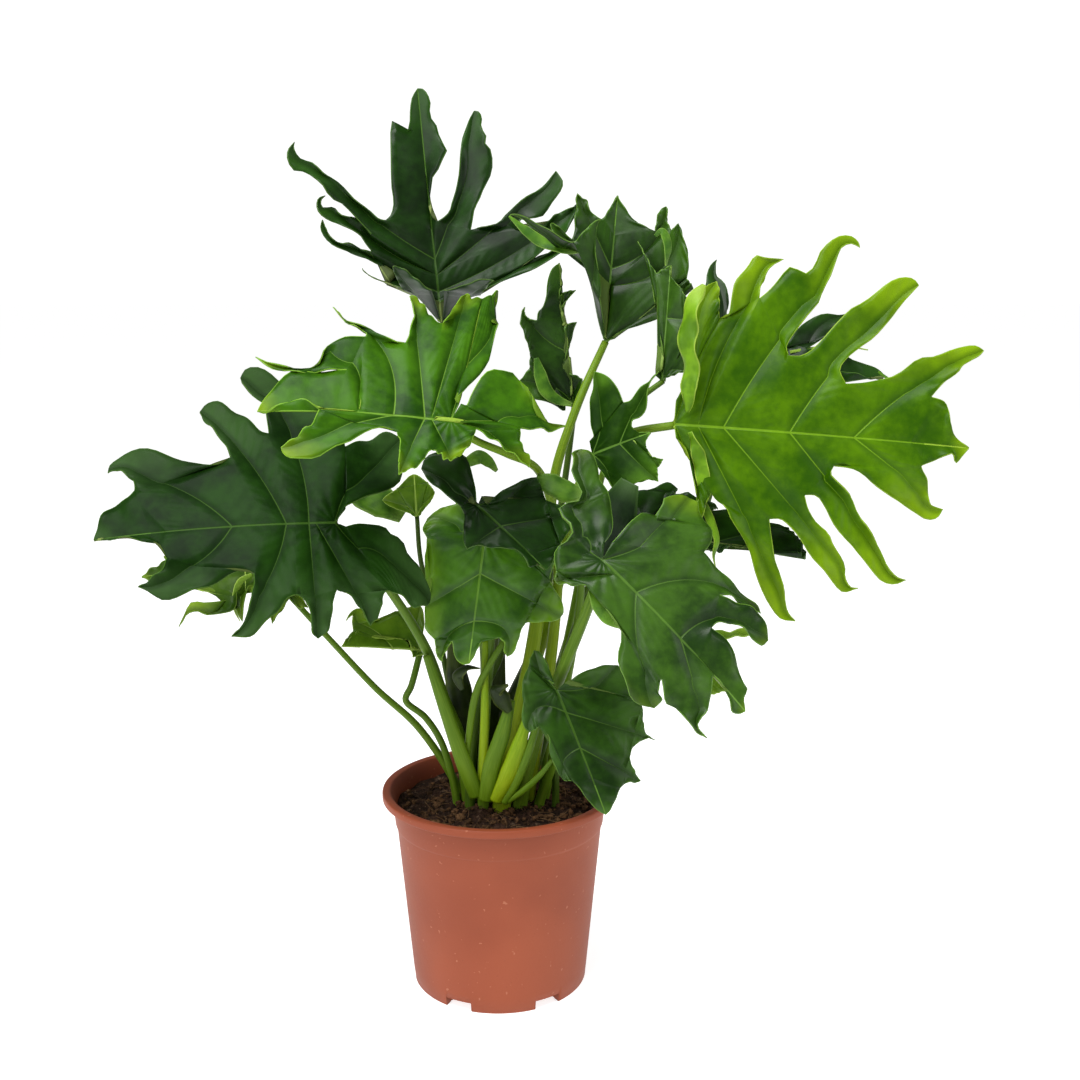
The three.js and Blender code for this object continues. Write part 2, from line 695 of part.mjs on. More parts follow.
    name: 'rim_front',
    at: [41, -52, 234], turn: [313, -56, 33], length: 90, bend: 15, fold: [0, 0], curl: [-20, -20],
    left: {
      notch: [-3, 10],
      lobes: [
        lobe(seen(618, 664), seen(641, 702), [0.16, 0.1]),
        lobe(seen(655, 738), seen(631, 757), [0.1, 0.05]),
        lobe(seen(639, 782), seen(618, 794), [0.08, 0.05]),
      ],
    },
    right: {
      notch: [-8, -3],
      lobes: [
        lobe([-29, -6], seen(524, 668), [0.1, 0.1]), lobe(seen(527, 731), seen(541, 726), [0.16, 0.1]),
        lobe([54, -26], seen(582, 793), [0.08, 0.08]),
      ],
    },
    colour: 0x235228,
    stalk: [[42, -36, 206], [39, -18, 170]],
    foot: [29, -9], radii: [4, 3, 2.4],
  },
  {
    name: 'centre_rear_spiky',
    at: [54, 42, 420], turn: [149, 83, -77], length: 101, bend: 0, fold: [10, 10], curl: [20, 20],
    left: {
      notch: [1, 5],
      lobes: [
        lobe(seen(520, 381), seen(531, 350)), lobe(seen(523, 305), seen(540, 318)),
      ],
    },
    right: {
      notch: [3, -4],
      lobes: [
        lobe(seen(583, 376), [42, -3]), lobe(seen(577, 321), [56, -3]),
        spur(seen(575, 290), [71, -3]),
      ],
    },
    colour: 0x1f4a26,
    stalk: [[49, 40, 373], [39, 37, 307], [24, 30, 219], [12, 20, 167]],
    foot: [8, 15], radii: [4, 3.2, 2.6, 2.2],
  },
  {
    name: 'centre_right_folded',
    at: [65, -25, 392], turn: [343, 23, 66], length: 43, bend: 5, fold: [0, 0], curl: [0, 0],
    left: {
      notch: [1, 9],
      lobes: [
        lobe(seen(594, 370), seen(624, 403)), lobe(seen(659, 371), seen(640, 420)),
      ],
    },
    right: {
      notch: [2, -8],
      lobes: [
        lobe(seen(613, 495), seen(630, 486)), lobe(seen(656, 482), seen(650, 470)),
        spur(seen(663, 461), seen(647, 446)),
      ],
    },
    colour: 0x357a2a,
    stalk: [[59, -18, 346], [58, -8, 286], [48, 0, 218], [39, 4, 164]],
    foot: [33, 4], radii: [4, 3.2, 2.6, 2.2],
  },
  {
    name: 'young_centre',
    at: [-58, 10, 343], turn: [113, 82, -24], length: 30, bend: 0, fold: [0, 0], curl: [0, 0],
    left: { notch: [1, 3], lobes: [lobe(seen(383, 500), seen(397, 488))] },
    right: { notch: [1, -3], lobes: [lobe(seen(434, 492), seen(428, 482))] },
    colour: 0x3b6a35,
    stalk: [[-56, 14, 311], [-46, 18, 265], [-35, 21, 205]],
    foot: [-17, 27], radii: [3, 2.4, 2, 1.6],
  },
  {
    name: 'left_low_curled',
    at: [-173, 40, 299], turn: [175, -2, -45], length: 98, bend: 10, fold: [0, 0], curl: [0, 0],
    left: {
      notch: [-8, 3],
      lobes: [
        lobe(seen(309, 606), seen(285, 598)), spur(seen(272, 622), seen(256, 600)),
        lobe(seen(240, 619), seen(214, 598)), lobe(seen(178, 626), seen(172, 596)),
      ],
    },
    right: {
      notch: [-2, -7],
      lobes: [
        lobe(seen(290, 530), seen(250, 535)), lobe(seen(215, 505), seen(205, 540)),
        lobe(seen(165, 545), seen(168, 562)),
      ],
    },
    colour: 0x5d9038,
    stalk: [[-148, 36, 271], [-125, 28, 248], [-91, 18, 214], [-58, 12, 184]],
    foot: [-29, 10], radii: [3.5, 2.8, 2.4, 2.2, 2],
  },
  {
    name: 'left_low_small',
    at: [-56, 5, 246], turn: [194, 9, -50], length: 57, bend: 10, fold: [0, 0], curl: [0, 0],
    left: { notch: [-2, 4], lobes: [lobe(seen(412, 672), [15, 6]), lobe(seen(362, 662), [44, 5])] },
    right: {
      notch: [-2, -5],
      lobes: [
        lobe(seen(420, 606), seen(396, 612)), lobe(seen(357, 607), seen(352, 622)),
      ],
    },
    colour: 0x5c8f3c,
    stalk: [[-63, 0, 221], [-67, -2, 211], [-53, -2, 198], [-41, -3, 178]],
    foot: [-31, -3], radii: [3.2, 2.6, 2.4, 2.4],
  },
  {
    name: 'right_low_dark',
    at: [101, 5, 331], turn: [353, -6, 49], length: 117, bend: 5, fold: [0, 0], curl: [0, 0],
    left: {
      notch: [-1, 8],
      lobes: [
        lobe(seen(630, 487), seen(662, 500)), spur(seen(697, 490), seen(716, 512)),
        lobe(seen(784, 524), seen(782, 544)),
      ],
    },
    right: {
      notch: [4, -8],
      lobes: [
        lobe(seen(650, 590), seen(690, 560)), spur(seen(720, 590), seen(750, 556)),
        lobe(seen(780, 575), seen(788, 560)),
      ],
    },
    colour: 0x24562a,
    stalk: [[84, 14, 303], [58, 14, 243], [35, 13, 174]],
    foot: [21, 16], radii: [4.5, 3.8, 3, 2.5],
  },
  {
    name: 'right_low_small',
    at: [130, -60, 261], turn: [334, -23, 46], length: 45, bend: 10, fold: [0, 0], curl: [0, 0],
    left: { notch: [0, 6], lobes: [lobe(seen(752, 629), seen(730, 655))] },
    right: { notch: [3, -4], lobes: [lobe(seen(700, 705), seen(722, 690))] },
    colour: 0x3f7a30,
    stalk: [[112, -32, 246], [78, -10, 217], [56, -1, 178]],
    foot: [41, -7], radii: [2.8, 2.3, 2, 1.8],
  },
];

for (const leaf of LEAVES) {
  for (const [half, side] of [[leaf.left, 1], [leaf.right, -1]]) {
    for (const each of half.lobes) {
      each.tip = placeOf(leaf, each.tip, side);
      each.sinus = placeOf(leaf, each.sinus, side);
    }
  }
}

// ---------- soil ----------

function soilHeight(x, y) {
  const mound = SOIL_MOUND * Math.exp(-(x * x + y * y) / 1800);
  const lumps = Math.sin(0.21 * x + 1) * Math.cos(0.17 * y) + 0.6 * Math.sin(0.11 * x - 0.23 * y);
  return SOIL_LEVEL + mound + SOIL_LUMPS * lumps;
}

function soilGeometry() {
  const floor = CHANNEL_HEIGHT + WALL + GAP;
  const ringShares = [0.93, 0.75, 0.55, 0.35, 0.17];
  const edge = innerRadius(SOIL_LEVEL - 3) - GAP - 0.3;
  const profile = [
    [0, floor],
    [innerRadius(floor) - GAP - 0.3, floor],
    [innerRadius(COLLAR_BOTTOM - 1) - GAP - 0.3, COLLAR_BOTTOM - 1],
    [edge, SOIL_LEVEL - 3],
    ...ringShares.map((share) => [edge * share, SOIL_LEVEL]),
    [0, SOIL_LEVEL],
  ];
  const geometry = closed(turned(profile, SOIL_SIDES));
  const position = geometry.attributes.position;
  for (let i = 0; i < position.count; i += 1) {
    if (position.getZ(i) > SOIL_LEVEL - 1) position.setZ(i, soilHeight(position.getX(i), position.getY(i)));
  }
  return geometry;
}

// The whole course of a stalk, from its foot in the soil to its blade.
function stalkCourse(leaf) {
  const [x, y] = leaf.foot;
  const foot = [x, y, SOIL_LEVEL - STALK_DEPTH];
  const collar = [x, y, SOIL_LEVEL + 3];
  const below = leaf.radii.at(-1) + BLADE_THICKNESS / 2 + GAP;
  const end = bladeSurface(leaf)(0, 0, -below).toArray(); // against the blade's underside
  return [foot, collar, ...leaf.stalk.toReversed(), end];
}

let soil = toSolid(soilGeometry());
for (const leaf of LEAVES) {
  soil = soil.subtract(toSolid(stalkGeometry(stalkCourse(leaf), leaf.radii, GAP)));
}
add('soil', toGeometry(soil), 0x33251c, 0.95);

for (const leaf of LEAVES) {
  add(`blade_${leaf.name}`, bladeGeometry(leaf), leaf.colour, 0.45);
  add(`stalk_${leaf.name}`, stalkGeometry(stalkCourse(leaf), leaf.radii), 0x6f9a35, 0.4);
}

export default group;
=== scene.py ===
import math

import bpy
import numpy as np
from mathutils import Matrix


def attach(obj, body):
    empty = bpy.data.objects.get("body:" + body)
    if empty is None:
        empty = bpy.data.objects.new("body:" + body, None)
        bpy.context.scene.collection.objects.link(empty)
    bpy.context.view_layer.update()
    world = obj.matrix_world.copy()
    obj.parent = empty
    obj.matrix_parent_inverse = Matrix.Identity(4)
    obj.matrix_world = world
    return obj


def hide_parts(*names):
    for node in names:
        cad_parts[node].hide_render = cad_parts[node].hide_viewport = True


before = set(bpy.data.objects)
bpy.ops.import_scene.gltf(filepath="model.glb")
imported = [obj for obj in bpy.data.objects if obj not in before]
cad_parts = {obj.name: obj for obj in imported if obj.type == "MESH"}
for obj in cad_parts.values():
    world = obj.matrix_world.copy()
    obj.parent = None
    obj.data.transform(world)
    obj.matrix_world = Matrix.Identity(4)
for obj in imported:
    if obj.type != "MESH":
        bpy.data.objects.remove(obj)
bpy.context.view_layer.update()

# %% [markdown]
# # A potted philodendron
#
# The plant stands in a moulded nursery pot. Eighteen lobed leaves rise on slim stalks
# from one cluster in the middle of the soil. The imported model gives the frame: plain
# solids for the pot, the soil, and each blade and stalk. This lesson dresses them. Every
# visible piece is built here from the same named dimensions, but finer, and stands for
# the plain solid whose place it takes.
#
# Lengths are written in millimetres, since that is how a plant maker would measure, and
# turned into metres only when a mesh is made.

MM = 0.001


# %% [markdown]
# ## The camera
#
# The ellipses of the pot's rim and foot tell how the real camera stood: a little above
# the middle of the plant, about a metre away, tilted down by some eleven degrees. It is
# set first, because every outline below was measured from there. A camera can be aimed
# with a constraint, but a plain position and tilt say exactly what was measured.

# %% Camera
CAMERA_PLACE = (29.7, -942.4, 507.8)
CAMERA_TILT = 10.8  # degrees below the horizon
FOCAL_SHARE = 1360 / 1080  # focal length over the width of the picture
SENSOR_WIDTH = 36

camera = bpy.data.objects.new("camera", bpy.data.cameras.new("camera"))
camera.location = [value * MM for value in CAMERA_PLACE]
camera.rotation_euler = (math.radians(90 - CAMERA_TILT), 0, 0)
camera.data.sensor_width = SENSOR_WIDTH
camera.data.lens = FOCAL_SHARE * SENSOR_WIDTH
camera.data.clip_start = 0.05
bpy.context.collection.objects.link(camera)
bpy.context.scene.camera = camera
print("lens:", round(camera.data.lens, 2), "mm")


# %% [markdown]
# ## Writing shaders as sums
#
# A material is a web of nodes, which is slow to read. One small class wraps a socket and
# gives it Python's operators, so that `0.3 + 0.1 * noise` adds the two Math nodes by
# itself. Everything that isn't arithmetic comes from a single method, which sets a node's
# settings first and then its sockets. Colours are mixed by Mix nodes, because a Math node
# would turn them grey.

# %% Signals
class Signal:
    """A socket of a node tree that Python's operators can be used on."""

    def __init__(self, paint, socket):
        self.paint = paint
        self.socket = socket

    def math(self, operation, *others):
        values = dict(enumerate((self, *others)))
        return self.paint.node("ShaderNodeMath", {"operation": operation}, values)

    def swapped(self, operation, other):
        return self.paint.node("ShaderNodeMath", {"operation": operation}, {0: other, 1: self})

    def __add__(self, other):
        return self.math("ADD", other)

    def __sub__(self, other):
        return self.math("SUBTRACT", other)

    def __mul__(self, other):
        return self.math("MULTIPLY", other)

    def __truediv__(self, other):
        return self.math("DIVIDE", other)

    def __radd__(self, other):
        return self.swapped("ADD", other)

    def __rsub__(self, other):
        return self.swapped("SUBTRACT", other)

    def __rmul__(self, other):
        return self.swapped("MULTIPLY", other)

    def __rtruediv__(self, other):
        return self.swapped("DIVIDE", other)

    def step(self, low, high):
        """0 below low, 1 above high, and an even slope between. low may be the larger."""
        settings = {"interpolation_type": "SMOOTHSTEP"}
        values = {"Value": self, "From Min": low, "From Max": high}
        if low > high:
            values = {"Value": self, "From Min": high, "From Max": low, "To Min": 1, "To Max": 0}
        return self.paint.node("ShaderNodeMapRange", settings, values)


# %% Paint
class Paint:
    """One material: its tree, and the one method that adds a node to it."""

    def __init__(self, name):
        self.material = bpy.data.materials.new(name)
        self.material.use_nodes = True
        self.tree = self.material.node_tree
        self.shader = self.tree.nodes["Principled BSDF"]

    def node(self, kind, settings, values, output=0):
        node = self.tree.nodes.new(kind)
        for name, value in settings.items():
            setattr(node, name, value)
        for key, value in values.items():
            self.put(node.inputs[key], value)
        return Signal(self, node.outputs[output])

    def put(self, socket, value):
        if isinstance(value, Signal):
            self.tree.links.new(value.socket, socket)
        else:
            socket.default_value = value

    def attribute(self, name):
        """The three parts of a vector that was stored on the mesh."""
        vector = self.node("ShaderNodeAttribute", {"attribute_name": name}, {}, "Vector")
        return [self.node("ShaderNodeSeparateXYZ", {}, {0: vector}, part) for part in range(3)]

    def place(self):
        """The point on the object in metres, the same in every view."""
        return self.node("ShaderNodeTexCoord", {}, {}, "Object")

    def noise(self, scale, detail, roughness, vector=None):
        values = {"Vector": vector or self.place(), "Scale": scale, "Detail": detail,
                  "Roughness": roughness}
        return self.node("ShaderNodeTexNoise", {}, values)

    def mix(self, share, first, second):
        """A colour mix. Its sockets have numbers, because names are shared by other kinds."""
        settings = {"data_type": "RGBA"}
        return self.node("ShaderNodeMix", settings, {0: share, 6: first, 7: second}, 2)

    def bump(self, height, strength, distance):
        values = {"Height": height, "Strength": strength, "Distance": distance}
        return self.node("ShaderNodeBump", {}, values)

    def finish(self, **sockets):
        """Sets the shader's own sockets, whose names are written with _ for a space."""
        for name, value in sockets.items():
            self.put(self.shader.inputs[name.replace("_", " ")], value)
        return self.material


# %% Colours
def colour(red, green, blue):
    """A colour given as on a screen, 0 to 255, turned into the light that it means."""
    parts = [value / 255 for value in (red, green, blue)]
    light = [p / 12.92 if p < 0.04045 else ((p + 0.055) / 1.055) ** 2.4 for p in parts]
    return (*light, 1.0)


print("a middle grey of 128 holds", round(colour(128, 128, 128)[0], 3), "of white's light")


# %% [markdown]
# ## From arrays to a mesh
#
# Leaves, stalks, pot and soil all come from formulas, so they are worked out as arrays of
# points and faces. One helper turns such arrays into a smooth mesh that rides on the
# frame, stands for its plain solid, and wears the material that it is given.

# %% Making a piece
ALMOST_NOTHING = 1e-9  # stands for zero where one divides


def make_piece(name, points, faces, material, slot, stands_for=(), smooth=True):
    """A mesh from points in millimetres."""
    mesh = bpy.data.meshes.new(name)
    mesh.from_pydata([tuple(float(v) * MM for v in p) for p in points], [], faces)
    mesh.polygons.foreach_set("use_smooth", [smooth] * len(mesh.polygons))
    mesh.materials.append(material)
    piece = bpy.data.objects.new(name, mesh)
    bpy.context.collection.objects.link(piece)
    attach(piece, "root")
    if stands_for:
        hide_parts(*stands_for)
    return piece


def store(piece, name, domain, values):
    """Keeps one vector for each point or face corner, for the material to read."""
    layer = piece.data.attributes.new(name, "FLOAT_VECTOR", domain)
    layer.data.foreach_set("vector", np.asarray(values, dtype=np.float32).ravel())


def unit(vectors):
    length = np.linalg.norm(vectors, axis=-1, keepdims=True)
    return vectors / np.maximum(length, ALMOST_NOTHING)


# %% [markdown]
# ## The form of a leaf
#
# A leaf of this plant is one flat sheet that is cut deeply into lobes. Each lobe follows
# one side vein, and between two lobes the sheet is open down to a rounded hollow, called
# a sinus. So the outline is described as a botanist would: the place of the stalk, then
# for each half the tips and the sinuses in turn, up to the apex.
#
# Where the photo shows the outline, it is read off it, as pixels across and down. The
# sight line of such a reading is followed further down to where it meets the sheet. A
# tip can have a lift off the sheet too, in millimetres, because the lobes curl. Where a
# part of the outline is hidden, its places are flat ones, in millimetres along the
# midrib and across it. Measuring every place on the sheet itself would be the other way,
# but the photo is the only thing here that can be measured.
#
# The sheet could be drawn as a flat outline and filled, but then its inner points would
# know nothing of the veins. Here it is woven instead from one strip for each lobe: rows
# run from the midrib out to the tip, and the middle of every row lies on the vein.

# %% Words for the outline
EVEN = (0.08, 0.08)  # how far a lobe's two edges bulge, as shares of their length


def lobe(tip, sinus, swell=EVEN, rise="", fall=""):
    """A lobe with a side vein of its own, and the sinus that parts it from the next.

    Its margin rises from the sinus before it to the tip and falls to its own sinus. Where
    the photo shows the form of the margin, its readings are listed, as pairs in one
    text, else it swells evenly.
    """
    return dict(tip=tip, sinus=sinus, swell=swell, rise=rise, fall=fall, spur=False)


def spur(tip, sinus, swell=EVEN, rise="", fall=""):
    """A lobe whose vein starts where the vein before it does."""
    return dict(tip=tip, sinus=sinus, swell=swell, rise=rise, fall=fall, spur=True)


def half(notch, apex, *lobes):
    """One side of a leaf, from the notch beside the stalk to the apex."""
    return dict(notch=notch, apex=apex, lobes=lobes)


class flat(tuple):
    """A place on the sheet itself: millimetres along the midrib, across it, and lift."""

    def __new__(cls, along, across, lift=0):
        return super().__new__(cls, (along, across, lift))


def raised(right, down, lift):
    """A reading whose sight line ends on the sheet, and which then leaves the sheet."""
    return (right, down, 0, lift)


def seen(right, down, lift=0):
    """A reading whose sight line ends on the lifted place."""
    return (right, down, lift, lift)


# %% The leaves
# Each leaf: where its stalk meets it, the way that its midrib points (azimuth, rise and
# roll in degrees), its length, how far it bends down, folds and curls, and its outline.
LEAVES = {}
LEAVES["left_large"] = dict(
    at=(-104, -70, 353), turn=(190, 1, -45), length=154, bend=12,
    fold=(0, 0), curl=(-10, -10),
    left=half(
        (-7, 6),
        "165,554 160,547 152,544 140,542 126,540 112,541 103,539",
        lobe((430, 601, -6), (388, 594),
             rise="362,525 380,526 389,532 392,538 401,539 405,546 408,553 417,562 425,577 "
                  "431,592",
             fall="425,607 416,610 407,605 398,598"),
        spur((371, 625, -4), (337, 593),
             rise="384,597 382,606 379,617",
             fall="366,618 361,608 353,600 345,595"),
        lobe((318, 637, -6), (296, 598),
             rise="335,598 333,608 331,622 327,633",
             fall="313,634 311,621 308,608 303,600"),
        lobe((231, 635, -6), (254, 576),
             rise="288,602 280,611 271,621 261,630 251,636 240,637",
             fall="240,627 246,617 250,605 252,594 255,585"),
        lobe((137, 585, -4), (168, 561),
             rise="247,573 238,574 229,577 219,584 208,590 196,592 186,596 176,599 164,600 "
                  "154,595 146,590",
             fall="148,581 158,576 164,569"),
    ),
    right=half(
        (-7, -8),
        "130,501 120,505 110,511 102,520 97,531",
        lobe((402, 437, -8), (345, 450),
             rise="345,511 356,506 366,501 379,496 391,490 399,484 402,470 400,452",
             fall="390,432 372,438"),
        lobe((240, 376), (269, 437),
             rise="340,425 310,400 285,385 270,374 258,368 247,368",
             fall="242,384 249,393 257,399 264,406 267,420"),
        lobe((199, 410, 2), (231, 461),
             rise="261,434 252,425 243,417 233,411 224,405 215,402 206,403",
             fall="203,419 212,430 221,441 228,452"),
        lobe((107, 472), (136, 494),
             rise="222,467 210,469 199,467 186,463 171,458 155,453 141,451 128,453 118,458 "
                  "110,464",
             fall="114,470 123,474 131,480 136,487"),
    ),
    stalk=[(-81, -50, 317), (-50, -25, 256), (-38, -12, 213), (-28, -5, 182)],
    foot=(-22, 1), radii=(6.5, 5, 3.6, 3, 2.6),
)
LEAVES["left_bright"] = dict(
    at=(-26, -100, 422), turn=(193, 9, -46), length=118, bend=15,
    fold=(-5, 5), curl=(-10, -10),
    left=half(
        (-6, -12),
        "312,407 304,402 295,401 285,404 275,409 266,414",
        lobe((568, 424), (519, 431),
             rise="464,409 470,397 477,385 483,377 491,372 500,372 510,371 515,377 521,384 "
                  "527,390 531,399 532,407 536,415 546,421",
             fall="556,430 540,431 529,431"),
        spur((530, 466, -4), (475, 432),
             rise="519,438 520,445 526,453 531,460",
             fall="522,461 511,455 501,448 491,442 483,437"),
        spur((452, 459), (431, 453),
             rise="471,443 464,453",
             fall="445,458 438,454"),
        lobe((399, 474, -5), (396, 435),
             rise="428,455 423,462 416,468 408,470",
             fall="398,466 399,456 399,445"),
        lobe((281, 446, -4), (319, 412),
             rise="388,431 378,432 366,435 356,439 346,446 334,452 320,457 305,459 290,459 "
                  "283,453",
             fall="289,441 298,435 307,428 315,421"),
    ),
    right=half(
        (-5, -12),
        "325,374 306,374 293,375 283,380 273,389 264,400",
        lobe((499, 289), (481, 302),
             rise="453,403 460,397 468,388 477,379 485,368 490,358 492,345 494,334 497,325 "
                  "491,326 492,318 495,309 498,300",
             fall="494,293 488,299"),
        spur((467, 292), (441, 327),
             rise="474,299",
             fall="460,299 453,310 447,320"),
        lobe((410, 294), (405, 346),
             rise="434,322 428,312 422,303 417,296",
             fall="411,302 413,312 413,321 410,330 408,340"),
        lobe((333, 305, 6), (365, 340),
             rise="396,345 388,341 380,335 371,329 362,327 353,324 343,316",
             fall="345,320 354,328 362,331 366,335"),
        spur((255, 355, 4), (347, 373),
             rise="355,340 345,340 335,343 327,348 323,355 321,364 311,368 295,368 278,365 "
                  "265,360",
             fall="267,366 279,370 295,374 315,374 332,373"),
    ),
    stalk=[(-10, -86, 408), (8, -69, 398), (30, -34, 380), (42, -11, 322), (37, -3, 240), (27, 3, 179)],
    foot=(20, 3), radii=(6, 5, 4, 3.2, 2.6, 2.4),
)
LEAVES["right_bright"] = dict(
    at=(121, -20, 412), turn=(352, -3, 72), length=198, bend=8,
    fold=(5, -5), curl=(-8, -8),
    left=half(
        (0, 15),
        "944,403 949,422 955,437",
        lobe((717, 281, 4), (719, 320),
             rise="684,388 688,366 689,345 690,325 695,300 706,286",
             fall="719,290 719,305"),
        spur((784, 258, 2), (759, 300),
             rise="727,318 731,300 735,284 744,271 750,262 755,255 765,258",
             fall="772,266 765,278 760,290"),
        lobe((861, 246, 5), (788, 357),
             rise="767,293 776,283 785,272 792,267 803,274 815,265 821,251 828,243 840,235 "
                  "852,235 859,241",
             fall="850,243 841,248 836,262 829,279 823,289 818,304 805,320 793,335 786,348"),
        lobe((920, 284), (845, 385),
             rise="800,357 811,351 820,342 832,328 842,317 852,308 864,302 876,293 890,282 "
                  "903,277 914,278",
             fall="910,295 900,306 888,323 873,338 858,349 846,360 839,371"),
        lobe((985, 350), (930, 398),
             rise="860,384 878,380 893,377 908,367 920,358 936,356 950,350 964,346 976,345",
             fall="978,357 960,367 955,375 940,386"),
    ),
    right=half(
        (2, -10),
        "931,462 945,457 952,455 955,463",
        lobe((698, 528, 5), (711, 494),
             rise="684,446 691,468 696,490 697,505",
             fall="703,515 707,503"),
        spur((796, 621), (769, 520),
             rise="716,501 725,507 731,521 741,536 749,550 755,572 761,590 770,606 781,619",
             fall="788,611 785,598 780,574 774,555 771,538"),
        lobe((859, 588), (804, 496),
             rise="780,520 792,531 802,544 811,557 822,570 832,583 843,592",
             fall="851,587 846,579 845,565 839,554 832,544 828,533 815,521 807,508"),
        lobe((907, 580, -2), (833, 467),
             rise="816,497 824,507 833,525 843,537 851,544 861,558 872,572 882,581 895,584",
             fall="897,577 889,569 880,550 869,531 857,514 849,496 837,483 830,474"),
        lobe((944, 509), (920, 467),
             rise="846,469 860,474 875,487 888,497 900,504 914,513 926,520 937,518",
             fall="937,507 930,503 928,488 925,478"),
    ),
    stalk=[(93, -10, 405), (71, 0, 392), (54, 8, 356), (42, 15, 291), (22, 11, 225), (4, 4, 172)],
    foot=(-5, 1), radii=(6.5, 6, 5, 4, 3.2, 2.8),
)
LEAVES["top_left_dark"] = dict(
    at=(-43, 75, 476), turn=(125, 80, -34), length=173, bend=0,
    fold=(10, 10), curl=(10, 10),
    left=half(
        (21, 3, 30),
        "391,216 394,203 392,190 391,170 391,150 391,132 393,121 397,129 398,139 404,137 409,127 "
        "410,112 412,98",
        lobe((393, 266, 40), (402, 290, 12)),
        spur(flat(45, 54), flat(31, 37)),
        lobe((322, 219), (372, 252),
             rise="397,275 385,268 372,262 358,256 345,250 332,245 324,237 320,228",
             fall="325,226 330,236 340,243 352,245 363,250"),
        spur((325, 195), (372, 235),
             rise="365,243 362,238 352,231 340,225 328,221 320,214 317,205 318,198",
             fall="321,200 322,207 333,207 342,215 356,218"),
        lobe((294, 141), (386, 221),
             rise="361,224 350,212 342,204 332,199 324,187 313,178 303,172 294,171 288,160 "
                  "288,150",
             fall="294,149 300,158 313,163 323,173 336,180 346,189 356,201 370,211 379,219"),
    ),
    right=half(
        (20, -6, 30),
        "433,219 430,210 430,199 432,187 434,176 440,169 443,161 447,154 445,146 440,141 438,129 "
        "434,121 430,116 431,104 428,95 423,89",
        lobe((494, 281, 40), (480, 296, 12)),
        spur((573, 236), (530, 262)),
        lobe((585, 200), (548, 222),
             rise="545,250 556,241 565,234 572,222 578,210",
             fall="576,204 569,209 558,213"),
        spur((556, 170), (471, 231),
             rise="532,234 519,230 519,222 530,219 543,216 553,202 561,190 563,182 559,174",
             fall="545,184 530,195 515,206 505,215 499,223 489,227 480,228"),
        lobe((474, 110), (438, 222),
             rise="473,220 475,210 480,200 484,188 490,176 493,163 491,150 485,143 486,134 "
                  "481,128 482,117 479,111",
             fall="470,117 466,128 462,141 460,158 459,175 456,192 452,203 449,213 443,219"),
    ),
    stalk=[(-38, 60, 399), (-22, 40, 305), (-11, 24, 241), (-12, 18, 174)],
    foot=(-14, 15), radii=(5, 4, 3.2, 2.8, 2.5),
)
LEAVES["top_folded"] = dict(
    at=(76, 40, 465), turn=(65, 78, 15), length=105, bend=0,
    fold=(10, 0), curl=(20, 20),
    left=half(
        (25, 2, 30),
        "606,216 610,208 614,202",
        lobe(flat(76, 4, 45), flat(60, 22, 38)),
        spur((509, 215, 30), (562, 250, 15)),
        spur((551, 223, 10), (573, 240, 5)),
        lobe((577, 193), (602, 220),
             rise="576,226 575,216 577,207 576,199",
             fall="582,198 587,200 589,207 593,214 598,218"),
    ),
    right=half(
        (2, -7),
        "647,228 640,225 634,220 627,211 622,204",
        lobe((693, 288), (687, 279),
             rise="613,338 622,332 632,328 645,323 658,319 672,308 683,297"),
        spur((678, 223), (672, 231),
             rise="689,268 688,256 686,245 683,237 681,229",
             fall="674,228"),
        lobe((666, 206), (655, 232),
             rise="670,228 667,219 668,211",
             fall="661,209 658,216 656,225"),
    ),
    stalk=[(61, 22, 433), (52, 14, 411), (41, 6, 377), (33, -5, 315), (23, -10, 243), (10, -12, 184)],
    foot=(2, -14), radii=(7, 6, 5, 4, 3.2, 2.6),
)
LEAVES["top_narrow"] = dict(
    at=(115, 15, 439), turn=(59, 82, -1), length=80, bend=0,
    fold=(0, 0), curl=(0, 0),
    left=half(
        (3, 4),
        "662,271 666,268",
        lobe((637, 241), (658, 274),
             rise="664,368 664,355 662,338 658,320 655,303 653,288 650,272 645,257",
             fall="643,250 649,260 654,268"),
    ),
    right=half(
        (2, -4),
        "671,276",
        lobe((688, 372), (685, 350)),
        spur((696, 320), (684, 290)),
    ),
    stalk=[(100, 20, 425), (83, 28, 396), (67, 32, 337), (53, 30, 264), (39, 26, 190)],
    foot=(32, 21), radii=(3.5, 3, 2.6, 2.3, 2),
)
LEAVES["right_rear"] = dict(
    at=(177, 85, 419), turn=(3, 10, 60), length=116, bend=5,
    fold=(0, 0), curl=(0, 0),
    left=half(
        (0, 8),
        "822,350 838,354 850,361 862,363 875,368 884,375",
        lobe((717, 258), (760, 328),
             rise="702,300 706,286 707,273 711,264",
             fall="716,265 717,275 723,281 727,290 729,303 727,316 740,325"),
        lobe((850, 313), (806, 351),
             rise="783,350 788,342 795,333 803,324 812,318 820,315 829,314 838,315",
             fall="845,320 836,330 827,338 819,342 812,347"),
    ),
    right=half(
        (2, -7),
        "843,373 856,375 869,378 882,380",
        lobe((745, 470), (790, 430)),
        lobe((820, 400), (834, 373)),
    ),
    stalk=[(162, 76, 383), (150, 68, 346), (105, 58, 287), (60, 50, 213), (28, 42, 165)],
    foot=(14, 33), radii=(4.5, 3.8, 3.2, 2.8, 2.4),
)
